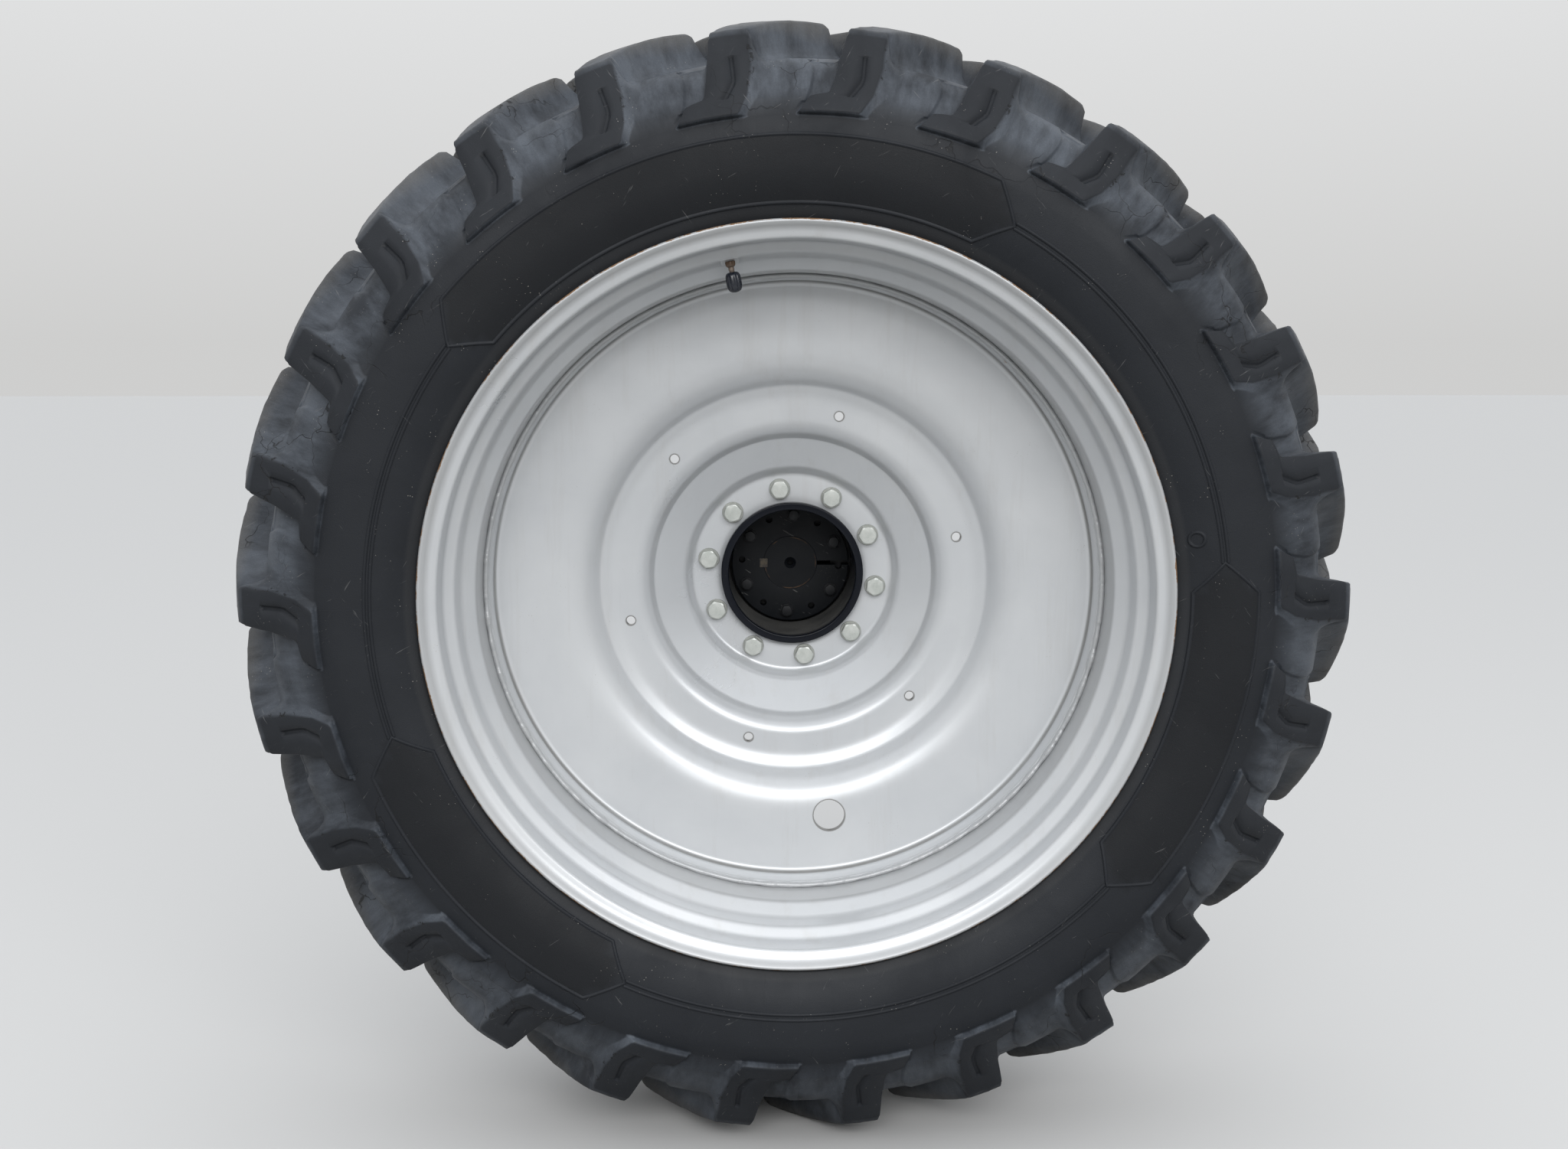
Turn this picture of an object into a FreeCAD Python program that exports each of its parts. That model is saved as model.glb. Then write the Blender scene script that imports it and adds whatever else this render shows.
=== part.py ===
import FreeCAD, Part
import math
import os

# Rear wheel of a farm tractor on its axle end. Sizes are in millimetres.
# The wheel turns about the Y axis and its outer side faces -Y. +X is the tractor's front, +Z is up.
# The origin is the centre of the axle housing's bolted face, which joins the rear axle case.
# A station is a distance inboard from the rim's outer edge. Clock angles are seen from outside,
# in degrees clockwise from the top. Radii are built up from the axle and from the rim's bead seat,
# and stations from the rim's outer edge, so each piece follows the one that carries it.

# Fits
running_clearance = 0.05
seat_clearance = 0.1
pilot_clearance = 0.5

# Axle shaft and key
axle_radius = 55.0
axle_collar_height = 9.0
axle_centre_hole_radius = 6.0
axle_centre_mouth_radius = 12.0
axle_centre_hole_depth = 25.0
axle_spline_count = 16
axle_spline_length = 60.0
axle_spline_groove = 7.0
axle_spline_depth = 5.0
key_width = 18.0
key_height = 16.0
key_angle = 270.0

# Wedge sleeve between hub and axle
sleeve_end_wall = 21.0
sleeve_taper_rise = 8.0
sleeve_taper_length = 120.0
sleeve_flange_width = 37.0
sleeve_flange = 26.0
sleeve_draw_gap = 3.0
sleeve_slit = 9.0
sleeve_screw_count = 6
sleeve_screw_margin = 21.0
sleeve_screw_angle = 4.0
sleeve_screw_radius = 8.0
sleeve_screw_head_flats = 24.0
sleeve_screw_head = 10.0
sleeve_screw_length = 60.0
sleeve_jack_hole_radius = 7.0

# Hub casting
hub_floor_gap = 5.0
hub_recess_depth = 158.0
hub_pilot_wall = 14.5
hub_pilot_height = 20.0
hub_flange = 32.0
hub_flange_margin = 35.5
hub_barrel_wall = 32.0
hub_waist_wall = 24.0
hub_nose_wall = 42.0
hub_nose_chamfer = 14.0

# Wheel bolts
wheel_bolt_count = 10
wheel_bolt_margin = 27.0
wheel_bolt_angle = -8.4
wheel_bolt_radius = 11.0
wheel_bolt_head_flats = 33.0
wheel_bolt_head = 14.0
wheel_bolt_clearance = 1.0
wheel_washer_radius = 21.0
wheel_washer = 3.0

# Wheel disc, pressed from plate
disc_plate = 11.0
disc_skirt_past_middle = 4.0
disc_skirt_length = 33.0
disc_bend_step = 13.0
disc_bend_depth = 20.0
disc_apron_depth = 4.0
disc_roll_share = 0.352
disc_roll_depth = 16.0
disc_fold_share = 0.154
disc_fold_depth = 30.0
disc_step_width = 22.0
disc_step_depth = 12.0
disc_plateau_width = 50.0
disc_slope_width = 29.4
disc_slope_depth = 33.0
disc_dish_width = 62.6
disc_dish_depth = 41.0
disc_seat_bevel_width = 12.0
disc_seat_bevel_depth = 21.0
disc_seat_margin = 28.5
weight_hole_count = 6
weight_hole_radius = 8.5
weight_hole_angle = 15.6
hand_hole_radius = 30.0
hand_hole_share = 0.484
hand_hole_angle = 171.5

# Rim, rolled from sheet
rim_bead_seat_radius = 635.0
rim_width = 438.0
rim_sheet = 7.5
rim_flange_height = 26.0
rim_flange_lean = 10.0
rim_lip_length = 10.0
rim_bead_seat_width = 47.0
rim_ledge_slope = 14.0
rim_ledge_drop = 20.5
rim_ledge_width = 33.0
rim_ledge_taper = 4.0
rim_well_slope = 26.0
rim_well_drop = 25.0

# Tyre
tyre_section_height = 377.0
tyre_bulge = 26.0
tyre_tread_inset = 40.0
tyre_crown_arc_radius = 470.0
tyre_bead_gap = 0.6
tyre_flex_share = 0.225
tyre_flex_inset = 8.0
tyre_widest_share = 0.51
tyre_shoulder_drop = 30.0
tyre_tread_wall = 45.0
tyre_shoulder_wall = 50.0
tyre_side_wall = 24.0
tyre_side_wall_share = 0.41
tyre_flats = 52
lug_count = 26
lug_height = 57.0
lug_bite = 10.0
lug_proud = 5.0
lug_shoulder_depth = 60.0
lug_foot_depth = 30.0
lug_angle = 5.0
lug_rows = [
    # part of the half tread, clock angle of the middle from the lug's edge, crown width, spread
    (0.0, 1.8, 62.0, 34.0),
    (0.45, 5.3, 60.0, 36.0),
    (1.0, 11.1, 62.0, 30.0),
]
lug_side = [
    # distance along the tread edge, drop from the crown; every corner is in sight of the first
    (-30.0, 114.0),
    (0.0, 0.0),
    (62.0, 0.0),
    (40.0, 144.0),
    (-84.0, 146.0),
]

# Valve
valve_angle = -11.2
valve_stem_radius = 4.5
valve_reach = 45.0
valve_seat_radius = 9.0
valve_seat = 3.0
valve_nut_flats = 14.0
valve_nut = 5.0
valve_cap_radius = 12.5
valve_cap_length = 32.0
valve_cap_cover = 17.0
valve_cap_chamfer = 5.0

# Axle housing with its bearings, seal and end plate
housing_gap = 98.0
housing_length = 360.0
housing_flange = 30.0
housing_flange_margin = 20.0
housing_bolt_count = 12
housing_bolt_circle = 390.0
housing_bolt_radius = 8.75
housing_boss_wall = 24.0
housing_boss_length = 70.0
housing_root_rise = 38.0
housing_wall = 18.0
housing_rib_count = 6
housing_rib = 14.0
bearing_section = 33.0
bearing_width = 45.0
bearing_shoulder = 5.0
bearing_shoulder_height = 10.0
retainer_plate = 12.0
retainer_screw_count = 8
retainer_screw_radius = 5.0
retainer_screw_head_flats = 16.0
retainer_screw_head = 8.0
retainer_screw_depth = 22.0
seal_section = 11.0

# Radii of the hub, from the axle outward
taper_end_radius = axle_radius + sleeve_end_wall
taper_mouth_radius = taper_end_radius + sleeve_taper_rise
sleeve_flange_radius = taper_mouth_radius + sleeve_flange_width
sleeve_screw_distance = sleeve_flange_radius - sleeve_screw_margin
hub_bore_radius = sleeve_flange_radius + hub_floor_gap
hub_pilot_radius = hub_bore_radius + hub_pilot_wall
wheel_bolt_distance = hub_pilot_radius + wheel_bolt_margin

# Radii of the disc, from its seat outward
disc_seat_radius = wheel_bolt_distance + disc_seat_margin
disc_bevel_radius = disc_seat_radius + disc_seat_bevel_width
disc_crease_radius = disc_bevel_radius + disc_dish_width
disc_plateau_inner_radius = disc_crease_radius + disc_slope_width
disc_plateau_outer_radius = disc_plateau_inner_radius + disc_plateau_width
disc_step_radius = disc_plateau_outer_radius + disc_step_width

# Radii of the rim, the disc's skirt and the tyre, from the bead seat
rim_flange_radius = rim_bead_seat_radius + rim_flange_height
rim_ledge_radius = rim_bead_seat_radius - rim_sheet - rim_ledge_drop
rim_well_radius = rim_ledge_radius - rim_ledge_taper - rim_well_drop
disc_skirt_radius = rim_well_radius - disc_plate
disc_bend_radius = disc_skirt_radius - disc_bend_step
disc_apron_width = disc_bend_radius - disc_step_radius
disc_roll_radius = disc_step_radius + disc_roll_share * disc_apron_width
disc_fold_radius = disc_step_radius + disc_fold_share * disc_apron_width
hand_hole_distance = disc_step_radius + hand_hole_share * disc_apron_width
tyre_crown_radius = rim_bead_seat_radius + tyre_section_height

# Stations of the rim and the tyre
rim_middle = rim_width / 2
rim_flange_foot = rim_lip_length + rim_flange_lean
rim_seat_end = rim_flange_foot + rim_bead_seat_width
rim_ledge_start = rim_seat_end + rim_ledge_slope
rim_ledge_end = rim_ledge_start + rim_ledge_width
rim_well_start = rim_ledge_end + rim_well_slope

# Stations of the disc and the hub
disc_skirt_station = rim_middle + disc_skirt_past_middle
disc_bend_station = disc_skirt_station + disc_skirt_length
disc_apron_station = disc_bend_station + disc_bend_depth
disc_roll_station = disc_apron_station + disc_apron_depth
disc_fold_station = disc_roll_station + disc_roll_depth
disc_step_station = disc_fold_station + disc_fold_depth
disc_plateau_station = disc_step_station + disc_step_depth
disc_crease_station = disc_plateau_station + disc_slope_depth
disc_bevel_station = disc_crease_station + disc_dish_depth
disc_seat_station = disc_bevel_station + disc_seat_bevel_depth
hub_face_station = disc_seat_station + disc_plate
hub_front_station = disc_seat_station - hub_pilot_height
hub_floor_station = hub_front_station + hub_recess_depth
hub_web_station = hub_floor_station + sleeve_flange + sleeve_draw_gap
hub_end_station = hub_web_station + sleeve_taper_length

# Radii and stations of the axle housing
bearing_radius = axle_radius + bearing_section
bearing_shoulder_radius = bearing_radius - bearing_shoulder_height
housing_boss_radius = bearing_radius + housing_boss_wall
housing_root_radius = housing_boss_radius + housing_root_rise
housing_flange_radius = housing_bolt_circle / 2 + housing_flange_margin
retainer_screw_distance = (bearing_radius + housing_boss_radius) / 2
seal_radius = axle_radius + seal_section
retainer_station = hub_end_station + housing_gap
housing_station = retainer_station + retainer_plate
housing_face_station = housing_station + housing_length
outer_bearing_end = housing_station + bearing_width
inner_bearing_end = housing_face_station - bearing_shoulder
inner_bearing_start = inner_bearing_end - bearing_width

origin = FreeCAD.Vector(0, 0, 0)
axle_direction = FreeCAD.Vector(0, 1, 0)
up = FreeCAD.Vector(0, 0, 1)


# Shapes turned and placed on the wheel axis

def at_station(station):
    return station - housing_face_station


def place(radius, station, clock):
    """The point at a radius, station and clock angle."""
    angle = math.radians(clock)
    return FreeCAD.Vector(radius * math.sin(angle), at_station(station), radius * math.cos(angle))


def flat_face(points):
    return Part.Face(Part.makePolygon(points + points[:1]))


def turned(corners):
    """A ring turned about the axle from (radius, station) corners."""
    points = [FreeCAD.Vector(radius, at_station(station), 0) for radius, station in corners]
    return flat_face(points).revolve(origin, axle_direction, 360)


def turned_sheet(corners, thickness):
    """A ring of even sheet whose visible side follows (radius, station) corners."""
    points = [FreeCAD.Vector(radius, at_station(station), 0) for radius, station in corners]
    sheet = Part.makePolygon(points).makeOffset2D(thickness, 2, True, True)
    return sheet.Faces[0].revolve(origin, axle_direction, 360)


def axial_cylinder(radius, first_station, last_station, distance=0.0):
    """A cylinder along the axle direction, at a distance above the axis."""
    foot = FreeCAD.Vector(0, at_station(first_station), distance)
    return Part.makeCylinder(radius, last_station - first_station, foot, axle_direction)


def axial_hexagon(flats, first_station, last_station, distance=0.0):
    """A hexagonal bar along the axle direction, at a distance above the axis."""
    corner_radius = flats / math.sqrt(3)
    corners = []
    for index in range(6):
        angle = math.radians(60 * index)
        x = corner_radius * math.cos(angle)
        z = distance + corner_radius * math.sin(angle)
        corners.append(FreeCAD.Vector(x, at_station(first_station), z))
    return flat_face(corners).extrude(axle_direction * (last_station - first_station))


def at_clock(shape, angle):
    """The shape, made at the top of the wheel, carried clockwise to an angle."""
    carried = shape.copy()
    carried.rotate(origin, axle_direction, angle)
    return carried


def around(shape, count, first_angle=0.0):
    return [at_clock(shape, first_angle + 360.0 * index / count) for index in range(count)]


# Rim

def rim():
    """Both halves of the rolled rim follow one line, mirrored about the middle of the rim."""
    lip_radius = rim_flange_radius - rim_sheet
    seat_radius = rim_bead_seat_radius - rim_sheet
    half = [
        # radius, station
        (lip_radius, 0.0),
        (lip_radius, rim_lip_length),
        (seat_radius, rim_flange_foot),
        (seat_radius, rim_seat_end),
        (rim_ledge_radius, rim_ledge_start),
        (rim_ledge_radius - rim_ledge_taper, rim_ledge_end),
        (rim_well_radius, rim_well_start),
    ]
    other_half = [(radius, rim_width - station) for radius, station in reversed(half)]
    ring = turned_sheet(half + other_half, rim_sheet)
    valve_hole = upright_cylinder(valve_stem_radius + seat_clearance, 0, rim_bead_seat_radius)
    return ring.cut(at_clock(valve_hole, valve_angle))


def rim_flange_back(radius):
    """Station of the flange's tyre side at a radius."""
    slope = rim_flange_lean / rim_flange_height
    sheet_along_axle = rim_sheet * math.hypot(1, slope)
    return rim_lip_length + slope * (rim_flange_radius - rim_sheet - radius) + sheet_along_axle


# Tyre

def ring_of_flats(outline):
    """A ring like the turned one, but carried round the wheel in even flat steps."""
    faces = []
    for index in range(tyre_flats):
        start = 360.0 * index / tyre_flats
        end = 360.0 * (index + 1) / tyre_flats
        for near, far in zip(outline, outline[1:] + outline[:1]):
            corners = [place(*near, start), place(*far, start), place(*far, end), place(*near, end)]
            faces.append(flat_face(corners))
    return Part.makeSolid(Part.makeShell(faces))


def flat_sided(sections):
    """A solid through sections of equal corner count. Each end is a fan from its first corner."""
    faces = []
    for near, far in zip(sections, sections[1:]):
        for index in range(len(near)):
            after = (index + 1) % len(near)
            faces.append(flat_face([near[index], near[after], far[after]]))
            faces.append(flat_face([near[index], far[after], far[index]]))
    for end in (sections[0], sections[-1]):
        for index in range(1, len(end) - 1):
            faces.append(flat_face([end[0], end[index], end[index + 1]]))
    solid = Part.makeSolid(Part.makeShell(faces))
    if solid.Volume < 0:
        solid.reverse()
    return solid


def tyre_carcass():
    """Rubber ring under the lugs, open at the beads and closed by the rim."""
    flat_to_corner = 1 / math.cos(math.pi / tyre_flats)
    bead_radius = (rim_bead_seat_radius + seat_clearance) * flat_to_corner
    rim_edge_radius = (rim_flange_radius + tyre_bead_gap) * flat_to_corner
    flex_radius = rim_bead_seat_radius + tyre_flex_share * tyre_section_height
    widest_radius = rim_bead_seat_radius + tyre_widest_share * tyre_section_height
    side_wall_radius = rim_bead_seat_radius + tyre_side_wall_share * tyre_section_height
    tread_radius = tyre_crown_radius - lug_height
    flex_station = tyre_flex_inset - tyre_bulge
    rim_edge_station = rim_flange_back(rim_flange_radius) + tyre_bead_gap
    bead_slope = (rim_edge_station - flex_station) / (flex_radius - rim_edge_radius)
    half = [
        # radius, station
        (bead_radius, rim_seat_end),
        (bead_radius, rim_edge_station + bead_slope * (rim_edge_radius - bead_radius)),
        (flex_radius, flex_station),
        (widest_radius, -tyre_bulge),
        (tread_radius - tyre_shoulder_drop, tyre_tread_inset),
        (tread_radius, rim_middle),
    ]
    hollow = [
        (tread_radius - tyre_tread_wall, tyre_tread_inset + tyre_shoulder_wall),
        (side_wall_radius, tyre_side_wall - tyre_bulge),
    ]
    other_half = [(radius, rim_width - station) for radius, station in reversed(half[:-1])]
    other_hollow = [(radius, rim_width - station) for radius, station in reversed(hollow)]
    return ring_of_flats(half + other_half + other_hollow + hollow)


def lug_tip_radius(station):
    """The lug tips lie on one arc across the tread."""
    drop = math.sqrt(tyre_crown_arc_radius ** 2 - (station - rim_middle) ** 2)
    return tyre_crown_radius - tyre_crown_arc_radius + drop


def lug_root_radius(station):
    """A little under the carcass, which falls evenly from the middle to the tread's edge."""
    part_way = abs(station - rim_middle) / (rim_middle - tyre_tread_inset)
    return tyre_crown_radius - lug_height - tyre_shoulder_drop * part_way - lug_bite


def lug_bar():
    """The slanting bar of a lug, from the tread's edge to the middle."""
    sections = []
    for part, middle, width, spread in lug_rows:
        station = tyre_tread_inset + part * (rim_middle - tyre_tread_inset)
        tip = lug_tip_radius(station)
        root = lug_root_radius(station)
        half_tip = math.degrees(width / 2 / tip)
        half_root = math.degrees((width + spread) / 2 / root)
        sections.append([
            place(root, station, middle - half_root),
            place(tip, station, middle - half_tip),
            place(tip, station, middle + half_tip),
            place(root, station, middle + half_root),
        ])
    return flat_sided(sections)


def lug_shoulder():
    """The lug's outer end, which leans out over the sidewall and ends in a foot."""
    edge_radius = lug_tip_radius(tyre_tread_inset)
    lowest = max(drop for distance, drop in lug_side)
    lean = (tyre_tread_inset + tyre_bulge + lug_proud) / lowest
    outside = []
    inside = []
    for distance, drop in lug_side:
        station = tyre_tread_inset - lean * drop
        clock = math.degrees(distance / edge_radius)
        depth = lug_shoulder_depth if drop < lug_height else lug_foot_depth
        outside.append(place(edge_radius - drop, station, clock))
        inside.append(place(edge_radius - drop, station + depth, clock))
    return flat_sided([outside, inside])


def tyre():
    """The carcass with two rows of lugs. The inner row is the outer one's mirror image, half a
    pitch on."""
    lug = at_clock(lug_bar().fuse(lug_shoulder()), lug_angle)
    middle = FreeCAD.Vector(0, at_station(rim_middle), 0)
    lugs = around(lug, lug_count)
    lugs += around(lug.mirror(middle, axle_direction), lug_count, 180.0 / lug_count)
    return tyre_carcass().fuse(lugs).removeSplitter()


# Wheel disc

def wheel_disc():
    """Dished plate from the skirt welded in the rim's well to the seat on the hub."""
    line = [
        # radius, station
        (disc_skirt_radius, disc_skirt_station),
        (disc_skirt_radius, disc_bend_station),
        (disc_bend_radius, disc_apron_station),
        (disc_roll_radius, disc_roll_station),
        (disc_fold_radius, disc_fold_station),
        (disc_step_radius, disc_step_station),
        (disc_plateau_outer_radius, disc_plateau_station),
        (disc_plateau_inner_radius, disc_plateau_station),
        (disc_crease_radius, disc_crease_station),
        (disc_bevel_radius, disc_bevel_station),
        (disc_seat_radius, disc_seat_station),
        (hub_pilot_radius + pilot_clearance, disc_seat_station),
    ]
    plate = turned_sheet(line, disc_plate)
    last_station = disc_seat_station + 2 * disc_plate
    bolt_hole = axial_cylinder(
        wheel_bolt_radius + wheel_bolt_clearance,
        disc_seat_station - disc_plate,
        last_station,
        wheel_bolt_distance,
    )
    weight_hole = axial_cylinder(
        weight_hole_radius,
        disc_skirt_station,
        last_station,
        (disc_plateau_inner_radius + disc_plateau_outer_radius) / 2,
    )
    hand_hole = axial_cylinder(
        hand_hole_radius,
        disc_skirt_station,
        last_station,
        hand_hole_distance,
    )
    holes = around(bolt_hole, wheel_bolt_count, wheel_bolt_angle)
    holes += around(weight_hole, weight_hole_count, weight_hole_angle)
    holes.append(at_clock(hand_hole, hand_hole_angle))
    return plate.cut(holes)


# Hub casting

def hub_casting():
    """Cast barrel with the bolted flange outside and the tapered bore for the wedge sleeve inside."""
    flange_radius = wheel_bolt_distance + hub_flange_margin
    flange_back = hub_face_station + hub_flange
    nose_radius = taper_end_radius + hub_nose_wall
    body = turned([
        # radius, station
        (hub_bore_radius, hub_front_station),
        (hub_pilot_radius, hub_front_station),
        (hub_pilot_radius, hub_face_station),
        (flange_radius, hub_face_station),
        (flange_radius, flange_back),
        (hub_bore_radius + hub_barrel_wall, flange_back),
        (hub_bore_radius + hub_waist_wall, hub_web_station),
        (nose_radius + hub_nose_chamfer, hub_end_station - 2 * hub_nose_chamfer),
        (nose_radius, hub_end_station),
        (taper_end_radius, hub_end_station),
        (taper_mouth_radius, hub_web_station),
        (hub_bore_radius, hub_web_station),
    ])
    bolt_hole = axial_cylinder(
        wheel_bolt_radius + seat_clearance,
        hub_face_station - 1,
        flange_back + 1,
        wheel_bolt_distance,
    )
    screw_hole = axial_cylinder(
        sleeve_screw_radius + seat_clearance,
        hub_web_station - 1,
        hub_floor_station + sleeve_screw_length + 1,
        sleeve_screw_distance,
    )
    holes = around(bolt_hole, wheel_bolt_count, wheel_bolt_angle)
    holes += around(screw_hole, sleeve_screw_count, sleeve_screw_angle)
    return body.cut(holes)


# Wedge sleeve

def sleeve_radius(station):
    """Radius of the sleeve's cone, which fits the hub's tapered bore."""
    part_way = (station - hub_web_station) / sleeve_taper_length
    return taper_mouth_radius - sleeve_taper_rise * part_way - seat_clearance


def keyway(radius_to, last_station):
    """The slot that the key fills, from the axle's middle out to a radius."""
    width = key_width + 2 * seat_clearance
    corner = FreeCAD.Vector(-width / 2, at_station(hub_floor_station - 1), 0)
    length = last_station - hub_floor_station + 1
    return at_clock(Part.makeBox(width, length, radius_to, corner), key_angle)


def wedge_sleeve():
    """Split conical sleeve that the screws draw into the hub to clamp it on the axle."""
    flange_back = hub_floor_station + sleeve_flange
    body = turned([
        # radius, station
        (axle_radius + seat_clearance, hub_floor_station),
        (sleeve_flange_radius, hub_floor_station),
        (sleeve_flange_radius, flange_back),
        (sleeve_radius(flange_back), flange_back),
        (sleeve_radius(hub_end_station), hub_end_station),
        (axle_radius + seat_clearance, hub_end_station),
    ])
    length = hub_end_station - hub_floor_station + 2
    slit_corner = FreeCAD.Vector(-sleeve_slit / 2, at_station(hub_floor_station - 1), 0)
    slit = Part.makeBox(sleeve_slit, length, sleeve_flange_radius + 1, slit_corner)
    screw_hole = axial_cylinder(
        sleeve_screw_radius + seat_clearance,
        hub_floor_station - 1,
        flange_back + 1,
        sleeve_screw_distance,
    )
    jack_hole = axial_cylinder(
        sleeve_jack_hole_radius, hub_floor_station - 1, flange_back + 1, sleeve_screw_distance
    )
    half_step = 180.0 / sleeve_screw_count
    cuts = around(screw_hole, sleeve_screw_count, sleeve_screw_angle)
    cuts += around(jack_hole, sleeve_screw_count, sleeve_screw_angle + half_step)
    cuts.append(at_clock(slit, key_angle + 180))
    cuts.append(keyway(axle_radius + key_height / 2 + seat_clearance, hub_end_station + 1))
    return body.cut(cuts)


def sleeve_screws():
    head_station = hub_floor_station - sleeve_screw_head
    head = axial_hexagon(
        sleeve_screw_head_flats, head_station, hub_floor_station, sleeve_screw_distance
    )
    last_station = hub_floor_station + sleeve_screw_length
    shank = axial_cylinder(
        sleeve_screw_radius, hub_floor_station, last_station, sleeve_screw_distance
    )
    screw = head.fuse(shank).removeSplitter()
    return Part.makeCompound(around(screw, sleeve_screw_count, sleeve_screw_angle))


# Axle shaft and key

def axle_shaft():
    """Long bar axle with a thrust collar between its bearings, a keyway at the hub and splines."""
    collar_start = outer_bearing_end + seat_clearance
    collar_end = inner_bearing_start - seat_clearance
    collar_radius = axle_radius + axle_collar_height
    shaft_end = housing_face_station + axle_spline_length
    body = turned([
        # radius, station
        (0.0, hub_floor_station + axle_centre_hole_depth),
        (axle_centre_hole_radius, hub_floor_station + axle_centre_hole_depth),
        (axle_centre_hole_radius, hub_floor_station + axle_centre_mouth_radius / 2),
        (axle_centre_mouth_radius, hub_floor_station),
        (axle_radius, hub_floor_station),
        (axle_radius, collar_start),
        (collar_radius, collar_start),
        (collar_radius, collar_end),
        (axle_radius, collar_end),
        (axle_radius, shaft_end),
        (0.0, shaft_end),
    ])
    floor_radius = axle_radius - key_height / 2 - seat_clearance
    slot = keyway(2 * axle_radius, hub_end_station)
    core = axial_cylinder(floor_radius, hub_floor_station - 2, hub_end_station + 1)
    groove_corner = FreeCAD.Vector(
        -axle_spline_groove / 2, at_station(housing_face_station), axle_radius - axle_spline_depth
    )
    groove = Part.makeBox(
        axle_spline_groove, axle_spline_length + 1, axle_spline_depth + 1, groove_corner
    )
    return body.cut([slot.cut(core)] + around(groove, axle_spline_count))


def axle_key():
    """The key runs through the sleeve's full length."""
    corner = FreeCAD.Vector(
        -key_width / 2, at_station(hub_floor_station), axle_radius - key_height / 2
    )
    length = hub_end_station - hub_floor_station
    return at_clock(Part.makeBox(key_width, length, key_height, corner), key_angle)


# Wheel bolts

def wheel_bolts():
    seat_station = disc_seat_station - wheel_washer
    head = axial_hexagon(
        wheel_bolt_head_flats, seat_station - wheel_bolt_head, seat_station, wheel_bolt_distance
    )
    last_station = hub_face_station + hub_flange
    shank = axial_cylinder(wheel_bolt_radius, seat_station, last_station, wheel_bolt_distance)
    bolt = head.fuse(shank).removeSplitter()
    return Part.makeCompound(around(bolt, wheel_bolt_count, wheel_bolt_angle))


def wheel_washers():
    start = disc_seat_station - wheel_washer
    plate = axial_cylinder(wheel_washer_radius, start, disc_seat_station, wheel_bolt_distance)
    hole_radius = wheel_bolt_radius + seat_clearance
    hole = axial_cylinder(hole_radius, start - 1, disc_seat_station + 1, wheel_bolt_distance)
    return Part.makeCompound(around(plate.cut(hole), wheel_bolt_count, wheel_bolt_angle))


# Valve

def upright_cylinder(radius, first_height, last_height):
    """A cylinder on the valve's line, which points at the axle through the middle of the ledge."""
    station = (rim_ledge_start + rim_ledge_end) / 2
    foot = FreeCAD.Vector(0, at_station(station), first_height)
    return Part.makeCylinder(radius, last_height - first_height, foot, up)


valve_slant = valve_seat_radius * rim_ledge_taper / rim_ledge_width + seat_clearance
valve_inner_face = rim_ledge_radius - rim_ledge_taper / 2 - valve_slant
valve_outer_face = valve_inner_face + rim_sheet + 2 * valve_slant
valve_stem_end = rim_ledge_radius - valve_reach


def valve_stem():
    """Brass stem that points at the axle, with its round foot inside the tyre."""
    foot = upright_cylinder(valve_seat_radius, valve_outer_face, valve_outer_face + valve_seat)
    stem = upright_cylinder(valve_stem_radius, valve_stem_end, valve_outer_face)
    return at_clock(stem.fuse(foot).removeSplitter(), valve_angle)


def valve_nut_piece():
    """The nut clamps the stem against the ledge."""
    corner_radius = valve_nut_flats / math.sqrt(3)
    station = (rim_ledge_start + rim_ledge_end) / 2
    corners = []
    for index in range(6):
        angle = math.radians(60 * index)
        x = corner_radius * math.cos(angle)
        y = at_station(station) + corner_radius * math.sin(angle)
        corners.append(FreeCAD.Vector(x, y, valve_inner_face - valve_nut))
    nut = flat_face(corners).extrude(up * valve_nut)
    hole = upright_cylinder(
        valve_stem_radius + seat_clearance, valve_inner_face - 2 * valve_nut, valve_inner_face + 1
    )
    return at_clock(nut.cut(hole), valve_angle)


def valve_cap():
    """Blind cap over the stem's end, bevelled at its closed end."""
    mouth = valve_stem_end + valve_cap_cover
    closed_end = mouth - valve_cap_length
    shell = upright_cylinder(valve_cap_radius, closed_end, mouth)
    end_edges = [edge for edge in shell.Edges if edge.BoundBox.ZMax < closed_end + 1]
    shell = shell.makeChamfer(valve_cap_chamfer, end_edges)
    bore = upright_cylinder(
        valve_stem_radius + seat_clearance, valve_stem_end - seat_clearance, mouth + 1
    )
    return at_clock(shell.cut(bore), valve_angle)


# Axle housing with its bearings, seal and end plate

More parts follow.
